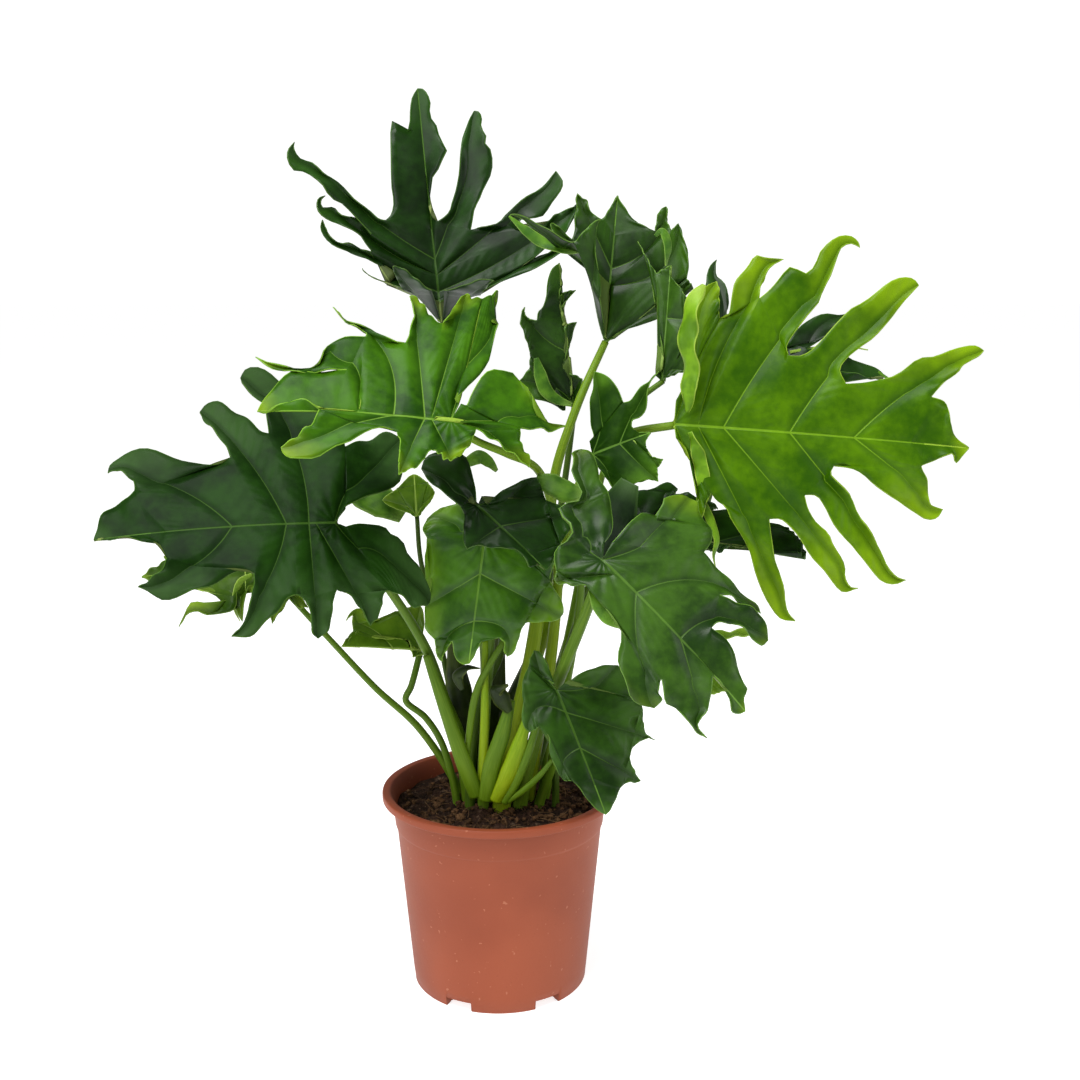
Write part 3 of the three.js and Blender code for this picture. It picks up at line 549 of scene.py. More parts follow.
LEAVES["front_right"] = dict(
    at=(69, -108, 336), turn=(330, -37, 45), length=129, bend=20,
    fold=(-8, -8), curl=(-12, -12),
    left=half(
        (-4, 12),
        "722,637 728,646 734,658 739,671 743,684 746,690 743,697 745,708",
        lobe((690, 497), (703, 554),
             rise="635,520 645,512 650,520 662,506 663,500 672,496 682,494",
             fall="698,502 699,510 704,520 711,532 710,544"),
        lobe((762, 613, -4), (718, 596),
             rise="710,562 719,572 733,584 748,598 758,605",
             fall="752,609 744,606 737,602 729,597"),
        lobe((769, 640), (710, 629),
             rise="737,604 750,608 760,616 766,627",
             fall="762,646 755,641 748,632 738,626 725,623 715,624"),
    ),
    right=half(
        (-7, 9),
        "719,682 725,690 728,701 731,712 739,714",
        lobe((580, 447, 15), (556, 573),
             rise="612,532 612,512 608,494 600,480 598,467 590,451",
             fall="572,452 574,460 571,470 577,485 582,499 575,505 566,504 558,512 563,519 "
                  "570,526 573,534 565,545 556,550 554,560"),
        spur(flat(-12, -30), flat(6, -20), (0.1, 0.1)),
        lobe((655, 708), (660, 680),
             rise="594,596 606,610 616,625 621,632 621,645 618,655 619,668 625,682 631,697 "
                  "640,704",
             fall="661,700 657,690"),
        lobe((708, 738), (712, 676),
             rise="665,703 673,707 682,717 692,726 699,734",
             fall="698,726 701,717 707,711 709,700 710,688"),
    ),
    stalk=[(63, -70, 301), (48, -38, 251), (28, -21, 194)],
    foot=(15, -13), radii=(5.5, 4.8, 4, 3),
)
LEAVES["centre_hanging"] = dict(
    at=(-8, -35, 336), turn=(244, -74, -28), length=87, bend=15,
    fold=(-5, -5), curl=(-20, -20),
    left=half(
        (-8, 6),
        "490,639 482,641 477,649 474,657",
        lobe((555, 540), (550, 580), (0.2, 0.1)),
        lobe((561, 616), (525, 623), (0.15, 0.1)),
        lobe((507, 657), (499, 637),
             rise="522,628 519,637 516,647 512,654",
             fall="504,651 504,642"),
    ),
    right=half(
        (-6, -7),
        "456,658 463,664",
        lobe((427, 519), (427, 538),
             rise="465,505 452,505 443,507 435,512",
             fall="423,530"),
        lobe((425, 607), (434, 638),
             rise="427,547 425,558 430,568 432,577 431,588 429,599",
             fall="425,618 426,629"),
        lobe((443, 662), (452, 640), (0.15, 0.1)),
    ),
    stalk=[(-4, -28, 276), (-8, -24, 216), (-11, -18, 170)],
    foot=(-11, -15), radii=(4.5, 3.5, 2.8, 2.4),
)
LEAVES["centre_dark"] = dict(
    at=(-11, -68, 364), turn=(337, -37, 53), length=61, bend=15,
    fold=(0, 0), curl=(-15, -15),
    left=half(
        (-2, 6),
        0.08,
        lobe((537, 477), (545, 500),
             rise="487,505 494,498 502,492 512,486 522,481 530,478",
             fall="541,486"),
        lobe((570, 515), (560, 545), (0.15, 0.15)),
    ),
    right=half(
        (-6, 2),
        "522,555 526,562 529,568 535,564",
        lobe((421, 468), (461, 508),
             rise="476,503 476,492 474,481 471,469 466,458 455,452 438,452 425,458",
             fall="428,480 442,492"),
        lobe((467, 549), (516, 550),
             rise="464,516 463,529 463,541",
             fall="476,546 490,548 504,549"),
    ),
    stalk=[(-10, -48, 359), (-9, -28, 351), (-5, -10, 330), (2, -6, 290), (2, -6, 250),
           (-12, -5, 215), (-18, -9, 185)],
    foot=(-21, -13), radii=(4, 3.2, 2.6, 2.2),
)
LEAVES["rim_front"] = dict(
    at=(41, -52, 234), turn=(313, -56, 33), length=90, bend=15,
    fold=(0, 0), curl=(-20, -20),
    left=half(
        (-3, 10),
        "617,794 614,802 610,810",
        lobe((618, 665), (641, 702),
             rise="563,685 570,681 576,676 584,672 593,669 602,665 611,665",
             fall="624,673 630,685 636,696"),
        lobe((655, 740), (629, 757),
             rise="642,713 643,724 645,733",
             fall="648,738 641,741 634,746 630,751"),
        lobe((641, 781), (620, 787),
             rise="631,765 635,773",
             fall="636,783 630,782 624,784"),
    ),
    right=half(
        (-8, -3),
        "579,788 585,797 593,806 600,812",
        lobe((534, 650), (528, 668),
             rise="554,684 551,674 546,662 540,652",
             fall="530,659"),
        lobe((530, 732), (539, 727),
             rise="523,680 522,692 523,704 522,716 524,727",
             fall="535,730"),
        lobe((564, 780), (572, 781),
             rise="548,736 549,746 551,757 556,769"),
    ),
    stalk=[(42, -36, 206), (39, -18, 170)],
    foot=(29, -9), radii=(4, 3, 2.4),
)
LEAVES["centre_rear_spiky"] = dict(
    at=(54, 42, 420), turn=(149, 83, -77), length=101, bend=0,
    fold=(10, 10), curl=(20, 20),
    left=half(
        (1, 5),
        "539,312 544,307 547,297 547,287 549,277 553,268",
        lobe((519, 381), (531, 352),
             rise="566,411 556,405 545,401 532,398 524,391",
             fall="525,374 530,365"),
        lobe((524, 307), (538, 320),
             rise="528,342 524,332 521,322 521,313",
             fall="525,314 531,319"),
    ),
    right=half(
        (3, -4),
        "561,288 562,278 562,270",
        lobe((582, 379), (564, 368),
             rise="582,397 583,388",
             fall="577,376 570,373"),
        lobe((576, 322), (565, 327),
             rise="566,358 569,345 572,334",
             fall="571,323"),
        spur((575, 290), (560, 297),
             rise="563,318 562,310 566,302 571,295",
             fall="568,291 563,293"),
    ),
    stalk=[(49, 40, 373), (39, 37, 307), (24, 30, 219), (12, 20, 167)],
    foot=(8, 15), radii=(4, 3.2, 2.6, 2.2),
)
LEAVES["centre_right_folded"] = dict(
    at=(65, -25, 392), turn=(343, 23, 66), length=43, bend=5,
    fold=(0, 0), curl=(0, 0),
    left=half(
        (1, 9),
        "637,432",
        lobe((594, 371), (624, 403),
             rise="594,438 591,425 590,412 590,400 593,388 593,379",
             fall="603,374 611,379 617,387 621,395"),
        lobe((659, 371), (632, 427),
             rise="630,401 636,393 642,386 649,381 653,376",
             fall="650,383 648,392 648,402 646,411 640,418 633,421"),
    ),
    right=half(
        (2, -8),
        "646,443",
        lobe((613, 495), (630, 486)),
        lobe((658, 481), (658, 468),
             rise="641,482 649,480",
             fall="658,474"),
        spur((663, 459), (647, 449),
             rise="661,464",
             fall="656,458 650,455"),
    ),
    stalk=[(59, -18, 346), (58, -8, 286), (48, 0, 218), (39, 4, 164)],
    foot=(33, 4), radii=(4, 3.2, 2.6, 2.2),
)
LEAVES["young_centre"] = dict(
    at=(-58, 10, 343), turn=(113, 82, -24), length=30, bend=0,
    fold=(0, 0), curl=(0, 0),
    left=half(
        (1, 3),
        EVEN[0],
        lobe((383, 500), (397, 488)),
    ),
    right=half(
        (1, -3),
        EVEN[0],
        lobe((434, 492), (428, 482)),
    ),
    stalk=[(-56, 14, 311), (-46, 18, 265), (-35, 21, 205)],
    foot=(-17, 27), radii=(3, 2.4, 2, 1.6),
)
LEAVES["left_low_curled"] = dict(
    at=(-173, 40, 299), turn=(175, -2, -45), length=98, bend=10,
    fold=(0, 0), curl=(0, 0),
    left=half(
        (-8, 3),
        "163,590 153,585 147,580",
        lobe((308, 607), (290, 600),
             rise="290,588 300,596",
             fall="298,608"),
        spur((272, 623), (262, 594),
             rise="286,606 280,613 275,619",
             fall="269,612"),
        lobe((242, 621), (238, 592),
             rise="252,588 246,600 244,612",
             fall="237,613 234,603"),
        lobe((178, 626), (172, 588),
             rise="236,610 222,613 207,616 198,612 187,614 182,621",
             fall="184,614 188,606 192,602 206,604 220,603 231,600 215,590 192,586"),
    ),
    right=half(
        (-2, -7),
        "158,567 150,571",
        lobe((290, 530), (250, 535)),
        lobe((215, 505), (205, 540)),
        lobe((161, 549), (167, 562),
             rise="180,545 170,545",
             fall="166,553 165,558"),
    ),
    stalk=[(-148, 36, 271), (-125, 28, 248), (-91, 18, 214), (-58, 12, 184)],
    foot=(-29, 10), radii=(3.5, 2.8, 2.4, 2.2, 2),
)
LEAVES["left_low_small"] = dict(
    at=(-56, 5, 246), turn=(194, 9, -50), length=57, bend=10,
    fold=(0, 0), curl=(0, 0),
    left=half(
        (-2, 4),
        "350,639 345,645",
        lobe((413, 657), (408, 641),
             rise="419,656",
             fall="411,648"),
        lobe((361, 634), (357, 632),
             rise="398,640 385,640 372,638"),
    ),
    right=half(
        (-2, -5),
        "348,637 344,643",
        lobe((420, 606), (396, 612)),
        lobe((346, 620), (353, 632),
             rise="385,617 372,622 363,609 356,609 350,613",
             fall="352,615 352,624"),
    ),
    stalk=[(-63, 0, 221), (-67, -2, 211), (-53, -2, 198), (-41, -3, 178)],
    foot=(-31, -3), radii=(3.2, 2.6, 2.4, 2.4),
)
LEAVES["right_low_dark"] = dict(
    at=(101, 5, 331), turn=(353, -6, 49), length=117, bend=5,
    fold=(0, 0), curl=(0, 0),
    left=half(
        (-1, 8),
        "802,546 805,553",
        lobe((678, 488), (673, 497),
             rise="628,500 640,491 653,490 662,485 669,482",
             fall="676,493"),
        spur((718, 508), (712, 513),
             rise="680,495 690,494 698,499 708,500 714,503"),
        lobe((783, 525), (797, 539),
             rise="722,512 732,514 745,520 760,523 772,523",
             fall="790,530"),
    ),
    right=half(
        (4, -8),
        "802,556",
        lobe((655, 580), (700, 552),
             rise="650,560",
             fall="680,562"),
        spur((720, 552), (731, 547),
             rise="710,550"),
        lobe((788, 553), (797, 554),
             rise="745,548 760,544 771,542 780,549"),
    ),
    stalk=[(84, 14, 303), (58, 14, 243), (35, 13, 174)],
    foot=(21, 16), radii=(4.5, 3.8, 3, 2.5),
)
LEAVES["right_low_small"] = dict(
    at=(130, -60, 261), turn=(334, -23, 46), length=45, bend=10,
    fold=(0, 0), curl=(0, 0),
    left=half(
        (0, 6),
        "716,660 724,671 733,681 742,685",
        lobe((752, 634), (711, 652),
             rise="703,640 712,632 721,630 730,633 738,629 746,628",
             fall="744,637 735,636 728,639 720,640 713,638"),
    ),
    right=half(
        (3, -4),
        "734,692",
        lobe((709, 694), (722, 692),
             rise="697,672 702,684",
             fall="716,694"),
    ),
    stalk=[(112, -32, 246), (78, -10, 217), (56, -1, 178)],
    foot=(41, -7), radii=(2.8, 2.3, 2, 1.8),
)
print(len(LEAVES), "leaves, with", sum(len(leaf[side]["lobes"]) for leaf in LEAVES.values()
                                       for side in ("left", "right")), "lobes")


# %% [markdown]
# ## Smooth lines
#
# Margins and stalks both are smooth lines through a few places. A centripetal curve is
# used, since it passes through every place and makes no loops where two lie close.

# %% A smooth line through given places
CURVE_PIECES = 16  # between two places
CLOSEST_PLACES = 0.01


def cross(first, second):
    return first[0] * second[1] - first[1] * second[0]


def between(first, second, low, high, knots, t):
    return first + (second - first) * (t - knots[low]) / (knots[high] - knots[low])


def smooth_line(places, shares):
    """Points at the given shares of the length of a curve through the places."""
    padded = np.concatenate([[2 * places[0] - places[1]], places, [2 * places[-1] - places[-2]]])
    fine = []
    for index in range(1, len(padded) - 2):
        near = padded[index - 1 : index + 3]
        steps = np.maximum(np.linalg.norm(np.diff(near, axis=0), axis=1), CLOSEST_PLACES)
        knots = np.concatenate([[0], np.cumsum(steps**0.5)])
        t = np.linspace(knots[1], knots[2], CURVE_PIECES, endpoint=False)[:, None]
        first = [between(near[i], near[i + 1], i, i + 1, knots, t) for i in range(3)]
        second = [between(first[i], first[i + 1], i, i + 2, knots, t) for i in range(2)]
        fine.append(between(second[0], second[1], 1, 2, knots, t))
    fine = np.concatenate([*fine, padded[-2:-1]])
    length = np.concatenate([[0], np.cumsum(np.linalg.norm(np.diff(fine, axis=0), axis=1))])
    wanted = np.asarray(shares) * length[-1]
    return np.stack([np.interp(wanted, length, fine[:, part]) for part in range(3)], axis=1)


# %% [markdown]
# ## The sheet in space
#
# The same few turns carry every flat point to its place: the midrib's direction, a bend
# along it, and a fold and a curl across it. The plain solids were placed by this very
# rule, so the finer leaf lands exactly where the plain one was.

# %% From the flat sheet to space
SHEET_WIDTH = 0.6  # the curl is reached at this share of the length
ALMOST_FLAT = 0.01  # degrees, in place of a bend of none


def leaf_axes(leaf):
    azimuth, rise, roll = np.radians(leaf["turn"])
    flat = np.array([math.cos(azimuth), math.sin(azimuth), 0])
    ahead = flat * math.cos(rise) + np.array([0, 0, math.sin(rise)])
    level = np.array([-math.sin(azimuth), math.cos(azimuth), 0])
    up = np.cross(ahead, level)
    left = level * math.cos(roll) + up * math.sin(roll)
    face = up * math.cos(roll) - level * math.sin(roll)
    return ahead, left, face


def in_space(leaf, flat):
    """Turns (along, across, lift) into a point in millimetres."""
    ahead, left, face = leaf_axes(leaf)
    along, across, lift = (np.asarray(flat, dtype=float)[..., part] for part in range(3))
    bend = math.radians(leaf["bend"] or ALMOST_FLAT) / leaf["length"]
    is_right = across < 0
    fold = np.radians(np.where(is_right, leaf["fold"][1], leaf["fold"][0]))
    curls = [turn or ALMOST_FLAT for turn in leaf["curl"]]
    curl = np.radians(np.where(is_right, curls[1], curls[0])) / (leaf["length"] * SHEET_WIDTH)
    out = np.abs(across)
    sideways = (np.sin(fold + curl * out) - np.sin(fold)) / curl
    height = (np.cos(fold) - np.cos(fold + curl * out)) / curl + lift
    turn = bend * along
    forward = np.sin(turn) / bend + height * np.sin(turn)
    upward = (np.cos(turn) - 1) / bend + height * np.cos(turn)
    sideways = np.where(is_right, -sideways, sideways)
    parts = (forward[..., None] * ahead, sideways[..., None] * left, upward[..., None] * face)
    return np.array(leaf["at"]) + sum(parts)


# %% [markdown]
# ## From the photo to the sheet
#
# A reading of the photo is a sight line, and it has to be found where that line meets
# the bent sheet. No formula gives that, so Newton's method walks there: it looks how far
# the place still lies from the reading in the photo, and how the photo changes with a
# small step along and across the sheet. A whole half of a leaf walks at once.

# %% Where readings lie on a sheet
PHOTO_WIDTH = 1080
READING_STARTS = (-0.3, 0.1, 0.5, 0.9)  # shares of the length
START_ASIDE = 0.3
READING_TURNS = 40
READING_STEP = 0.5  # millimetres
LONGEST_MOVE = 15
CLEARLY_NEARER = 0.2  # pixels


def in_photo(points):
    """Where points in millimetres lie in the photo, in pixels across and down."""
    tilt = math.radians(CAMERA_TILT)
    right, ahead, up = np.moveaxis(points - np.array(CAMERA_PLACE), -1, 0)
    depth = ahead * math.cos(tilt) - up * math.sin(tilt)
    height = ahead * math.sin(tilt) + up * math.cos(tilt)
    scale = FOCAL_SHARE * PHOTO_WIDTH / depth
    return PHOTO_WIDTH / 2 + np.stack([right * scale, -height * scale], axis=-1)


def on_sight_line(right, down, depth):
    """The point that the photo shows at a reading, depth millimetres behind the pot's axis."""
    tilt = math.radians(CAMERA_TILT)
    focal = FOCAL_SHARE * PHOTO_WIDTH
    across, above = (right - PHOTO_WIDTH / 2) / focal, (PHOTO_WIDTH / 2 - down) / focal
    way = np.array([across, math.cos(tilt) + above * math.sin(tilt),
                    above * math.cos(tilt) - math.sin(tilt)])
    place = np.array(CAMERA_PLACE)
    return place + way * (depth - place[1]) / way[1]


# %% Walking to the sheet
def on_sheet(leaf, readings, side):
    """The flat places that rows of (right, down, lift of the sight line, lift) show."""
    rows = np.array(readings, dtype=float)
    best = np.zeros((len(rows), 3))
    least = np.full(len(rows), np.inf)
    for start in READING_STARTS:
        place = np.full((len(rows), 3), start * leaf["length"])
        place[:, 1] = side * START_ASIDE * leaf["length"]
        place[:, 2] = rows[:, 2]
        for _ in range(READING_TURNS):
            now = in_photo(in_space(leaf, place))
            along, across = (
                (in_photo(in_space(leaf, place + step)) - now) / READING_STEP
                for step in (np.array([READING_STEP, 0, 0]), np.array([0, READING_STEP, 0]))
            )
            miss = now - rows[:, :2]
            area = cross(along.T, across.T)
            area = np.where(np.abs(area) < ALMOST_NOTHING, ALMOST_NOTHING, area)
            move = np.stack([cross(miss.T, across.T), cross(along.T, miss.T)], axis=1) / area[:, None]
            size = np.linalg.norm(move, axis=1, keepdims=True)
            place[:, :2] -= move * np.minimum(1, LONGEST_MOVE / np.maximum(size, ALMOST_NOTHING))
        missed = np.linalg.norm(in_photo(in_space(leaf, place)) - rows[:, :2], axis=1)
        nearer = missed < least - CLEARLY_NEARER
        best[nearer] = place[nearer]
        least = np.where(nearer, missed, least)
    best[:, 2] = rows[:, 3]
    return best, least


# %% Reading whole halves
def pairs(text):
    """The readings that a text of pairs lists."""
    return [tuple(float(part) for part in pair.split(",")) for pair in text.split()]


def as_reading(place):
    """A plain reading is one that is seen. Flat and raised places stay what they are."""
    return place if isinstance(place, flat) or len(place) == 4 else seen(*place)


def read_edge(text, lift, falling, change):
    """The places of one edge of a lobe, which takes up the tip's lift on its way."""
    places = pairs(text)
    shares = [(index + 1) / (len(places) + 1) for index in range(len(places))]
    if falling:
        shares = [1 - share for share in shares]
    return [change(seen(*place, lift * share)) for place, share in zip(places, shares)]


def read_half(form, change):
    """A half whose readings have all been through change, each in its turn."""
    lobes = []
    for each in form["lobes"]:
        tip, sinus = as_reading(each["tip"]), as_reading(each["sinus"])
        rise = read_edge(each["rise"], tip[-1], False, change)
        fall = read_edge(each["fall"], tip[-1], True, change)
        lobes.append({**each, "rise": rise, "fall": fall, "tip": change(tip), "sinus": change(sinus)})
    apex = form["apex"]
    if isinstance(apex, str):
        apex = [change(seen(*place)) for place in pairs(apex)]
    return dict(notch=form["notch"], apex=apex, lobes=lobes)


def placed_half(leaf, name, side):
    """A half with its readings turned into flat places, and how far the worst one misses."""
    readings = []
    read_half(leaf[name], lambda place: place if isinstance(place, flat) else readings.append(place))
    places, missed = on_sheet(leaf, readings, side) if readings else ([], [0])
    found = iter(places)
    half = read_half(leaf[name], lambda place: place if isinstance(place, flat) else next(found))
    return half, max(missed)


worst = 0
for leaf in LEAVES.values():
    for name, side in (("left", 1), ("right", -1)):
        leaf[name], missed = placed_half(leaf, name, side)
        worst = max(worst, missed)
print("readings miss their sheets by", round(float(worst), 3), "pixels at most")


# %% [markdown]
# ## Veins, sinuses and margins
#
# The midrib carries the side veins, each of which leans forward. A fold line runs from
# the midrib to every sinus, and the vein of a lobe lies between its two fold lines. The
# margin is hollow beside a sinus, which rounds it, and full towards the tip.

# %% The skeleton of a leaf
VEIN_SLANT = 0.35  # how far a fold line leans forward, for each millimetre outward
VEIN_FOOT = 0.35  # where between two fold lines a vein starts
VEIN_MARGIN = 0.3  # how near it may pass to a sinus, as a share of the way between both
CLOSEST_STATIONS = 0.4  # as a share of even steps
LAST_STATION = 0.8  # share of the length
STATION_ROOM = 0.1  # kept for each fold line still to come


def flat_point(values, side=1):
    along, across, *lift = values
    return np.array([along, side * across, lift[0] if lift else 0.0])


def midrib_stations(leaf):
    """The places on the midrib where fold lines start, shared by both halves."""
    left, right = ([each for each in leaf[side]["lobes"] if not each["spur"]]
                   for side in ("left", "right"))
    count = len(left)
    stations = [0.0]
    for index, pair in enumerate(zip(left, right)):
        wanted = sum(each["sinus"][0] - VEIN_SLANT * abs(each["sinus"][1]) for each in pair) / 2
        least = CLOSEST_STATIONS * leaf["length"] / (count + 1)
        most = leaf["length"] * (LAST_STATION - STATION_ROOM * (count - 1 - index))
        stations.append(max(stations[index] + least, min(wanted, most)))
    return stations


def vein_side(root, tip, sinus_before, sinus):
    """Where a vein crosses the line between its two sinuses, as a share of that line."""
    vein, across, offset = tip - root, sinus - sinus_before, root - sinus_before
    slope = cross(vein, across)
    straight = 0.5 if slope == 0 else cross(vein, offset) / slope
    return min(max(straight, VEIN_MARGIN), 1 - VEIN_MARGIN)


# %% Margins
SWELL_HEIGHT = 2.6  # with it the bulge is as high as its swell says
SINUS_ROUNDING = 0.14  # how strongly the margin is hollow beside its sinus


def swelling(sinus, tip, root, swell, shares):
    """A margin that is hollow beside its sinus and full towards its tip."""
    way = tip - sinus
    length = math.hypot(way[0], way[1]) or 1
    outward = np.array([-way[1], way[0], 0]) / length
    if cross(tip - root, sinus - root) < 0:
        outward = -outward
    bulge = swell * SWELL_HEIGHT * shares * np.sqrt(1 - shares)
    hollow = SINUS_ROUNDING * np.sqrt(shares) * (1 - shares) ** 2
    return sinus + shares[:, None] * way + (length * (bulge - hollow))[:, None] * outward


def margin(sinus, tip, root, form, shares, ripple):
    """The points of the margin from a sinus to a tip. form is a swell, or places."""
    if isinstance(form, (int, float)):
        line = swelling(sinus, tip, root, form, shares)
    else:
        places = [sinus[:2], *(place[:2] for place in form), tip[:2]]
        flat = np.array([(*place, 0) for place in places], dtype=float)
        line = smooth_line(flat, shares)
        line[:, 2] = sinus[2] + (tip[2] - sinus[2]) * shares
    size, waves, phase = ripple
    way = unit(tip - sinus)
    sideways = size * np.sin(2 * math.pi * waves * shares + phase) * np.sin(math.pi * shares)
    return line + sideways[:, None] * np.array([-way[1], way[0], 0])


# %% [markdown]
# ## Relief
#
# A real blade isn't flat between its veins. It arches up between them, so that each vein
# lies in a valley with a fine groove along its middle, its margin waves, and its lobes
# droop or twist a little, each in its own way. All of it is added as lift, with the
# random draws seeded from the leaf's own number, so that the plant grows the same way
# every time.

# %% Rows and columns of a strip
FULL_TURN = 6.28  # radians
PHASES = (0, 6)  # radians that a ripple may start at
INNER_ROWS = 9
OUTER_ROWS = 24
FIRST_NECK = 0.05  # a vein's neck lies at least this far along it
ACROSS = np.linspace(0, 1, 9) ** 1.7  # columns from a vein to an edge, closest at the vein
INNER_SHARES = np.linspace(0, 1, INNER_ROWS + 1) ** 1.2
OUTER_SHARES = 0.5 - 0.5 * np.cos(math.pi * np.linspace(0, 1, OUTER_ROWS + 1)[1:])
COLUMN = np.concatenate([-ACROSS[:0:-1], ACROSS])
print("a strip has", INNER_ROWS + OUTER_ROWS + 1, "rows of", len(COLUMN), "points")


def bent_vein(root, neck, tip):
    """The vein as a smooth curve through its neck, and where on it the neck lies."""
    first, second = np.linalg.norm(neck - root), np.linalg.norm(tip - neck)
    place = max(first / (first + second), FIRST_NECK)
    control = (neck - (1 - place) ** 2 * root - place**2 * tip) / (2 * place * (1 - place))

    def at(share):
        share = np.asarray(share)[:, None]
        return (1 - share) ** 2 * root + 2 * share * (1 - share) * control + share**2 * tip

    return at, place


def row_points(edge, vein, other_edge):
    """One row of columns from each edge to the vein."""
    share = np.abs(COLUMN)[None, :, None]
    ends = np.where(COLUMN[None, :, None] < 0, edge[:, None], other_edge[:, None])
    return vein[:, None] + (ends - vein[:, None]) * share


# %% Weaving one lobe
FREE_VEIN = (0.25, 0.75)  # the vein stays in the middle half of its lobe
VEIN_FREED = 4  # and takes its own course within a quarter of it
RIPPLE_WAVES = (1.5, 3)


def weave(leaf, before, root, after, sinus_before, sinus, each, tip, draw):
    """The strip of one lobe: its flat points, and what its material needs to know."""
    relief = leaf["relief"]
    side = vein_side(root, tip, sinus_before, sinus)
    neck = sinus_before + (sinus - sinus_before) * side
    vein_at, place = bent_vein(root, neck, tip)
    inner, outer = INNER_SHARES[:, None], OUTER_SHARES
    ripples = [(relief["ripple"], draw.uniform(*RIPPLE_WAVES), draw.uniform(*PHASES))
               for _ in range(2)]
    forms = [each["rise"] or each["swell"][0], each["fall"][::-1] or each["swell"][1]]
    edges = [
        margin(start, tip, root, form, outer, ripple)
        for start, form, ripple in zip((sinus_before, sinus), forms, ripples)
    ]
    free_vein = vein_at(place + (1 - place) * outer)
    width = edges[1] - edges[0]
    square = np.maximum(np.sum(width**2, axis=1), ALMOST_NOTHING)
    reach = np.sum((free_vein - edges[0]) * width, axis=1) / square
    reach = side + (np.clip(reach, *FREE_VEIN) - side) * np.minimum(1, outer * VEIN_FREED)
    outer_vein = edges[0] + width * reach[:, None]
    inner_vein = vein_at(place * INNER_SHARES)
    lifts = [end[2] * INNER_SHARES**2 for end in (sinus_before, neck, sinus)]
    folds = ((before, sinus_before), (after, sinus))
    inner_edges = [start + (end - start) * inner for start, end in folds]
    for line, lift in zip((inner_edges[0], inner_vein, inner_edges[1]), lifts):
        line[:, 2] = lift
    vein = np.concatenate([inner_vein, outer_vein])
    points = row_points(np.concatenate([inner_edges[0], edges[0]]), vein,
                        np.concatenate([inner_edges[1], edges[1]]))
    return points, vein


# %% Relief of one lobe
DROOPS = (0.4, 1.5)  # drawn shares of the leaf's own droop
MARGIN_WAVES = (1.5, 3.2)
GROOVE_DEPTH = 0.7
GROOVE_FADING = 0.7
GROOVE_WIDTH = (1.3, 0.7)  # millimetres at the root, and how much it loses to the tip
ON_SHEET = np.concatenate([INNER_SHARES, np.ones(OUTER_ROWS)])[:, None]  # up to the sinuses
ON_LOBE = np.concatenate([np.zeros(INNER_ROWS + 1), OUTER_SHARES])[:, None]  # and from there


def arched(relief, columns):
    """The arch between a vein and the edges, which fades towards the tip."""
    crest = (1 - np.cos(math.pi * np.abs(columns))) / 2
    return relief["arch"] * ON_SHEET**0.8 * (1 - ON_LOBE) ** 0.7 * crest


def grooved(across, share):
    """The fine groove along a vein."""
    width = GROOVE_WIDTH[0] - GROOVE_WIDTH[1] * share
    return GROOVE_DEPTH * (1 - GROOVE_FADING * share) * np.exp(-((across / width) ** 2))


def shape_lobe(leaf, points, vein, draw):
    """Adds the relief to a woven strip, and measures it for the material."""
    relief = leaf["relief"]
    steps = np.linalg.norm(np.diff(vein, axis=0), axis=1)
    along = np.concatenate([[0], np.cumsum(steps)])
    way = unit(np.gradient(vein, axis=0))
    offset = points - vein[:, None]
    across = np.abs(way[:, None, 0] * offset[..., 1] - way[:, None, 1] * offset[..., 0])
    column = COLUMN[None, :]
    droop = relief["droop"] * draw.uniform(*DROOPS) * ON_LOBE**1.8
    twist = relief["twist"] * draw.uniform(-1, 1) * np.sin(math.pi * ON_LOBE) * column
    waves, phase = draw.uniform(*MARGIN_WAVES), draw.uniform(0, FULL_TURN, 2)
    phases = np.where(column < 0, phase[0], phase[1])
    wave = relief["wave"] * np.sin(2 * math.pi * waves * ON_LOBE + phases)
    wave = wave * np.abs(column) ** 2.5 * np.sin(math.pi * ON_LOBE) ** 0.8
    share = (along / along[-1])[:, None]
    groove = grooved(across, share)
    points[..., 2] += arched(relief, column) - droop + twist + wave - groove * (ON_SHEET**0.5)
    rib = np.stack([np.broadcast_to(along[:, None], across.shape), across,
                    np.broadcast_to(share, across.shape)], axis=-1)
    return points, rib


# %% Weaving the apex
LEVELS = (0.2, 0.75)  # shares of the last stretch of the midrib
APEX_RIPPLES = 2
APEX_WAVE = 12  # radians of its wave from the last sinus to the apex
FAR = 99.0  # stands for a distance that nothing on a leaf reaches


def veins_level(leaf, foot):
    """How far along the last stretch of the midrib the apex comes free."""
    length = leaf["length"] - foot
    last = [leaf[side]["lobes"][-1]["sinus"] for side in ("left", "right")]
    reach = sum((sinus[0] - foot) / length for sinus in last) / 2
    return min(max(reach, LEVELS[0]), LEVELS[1])


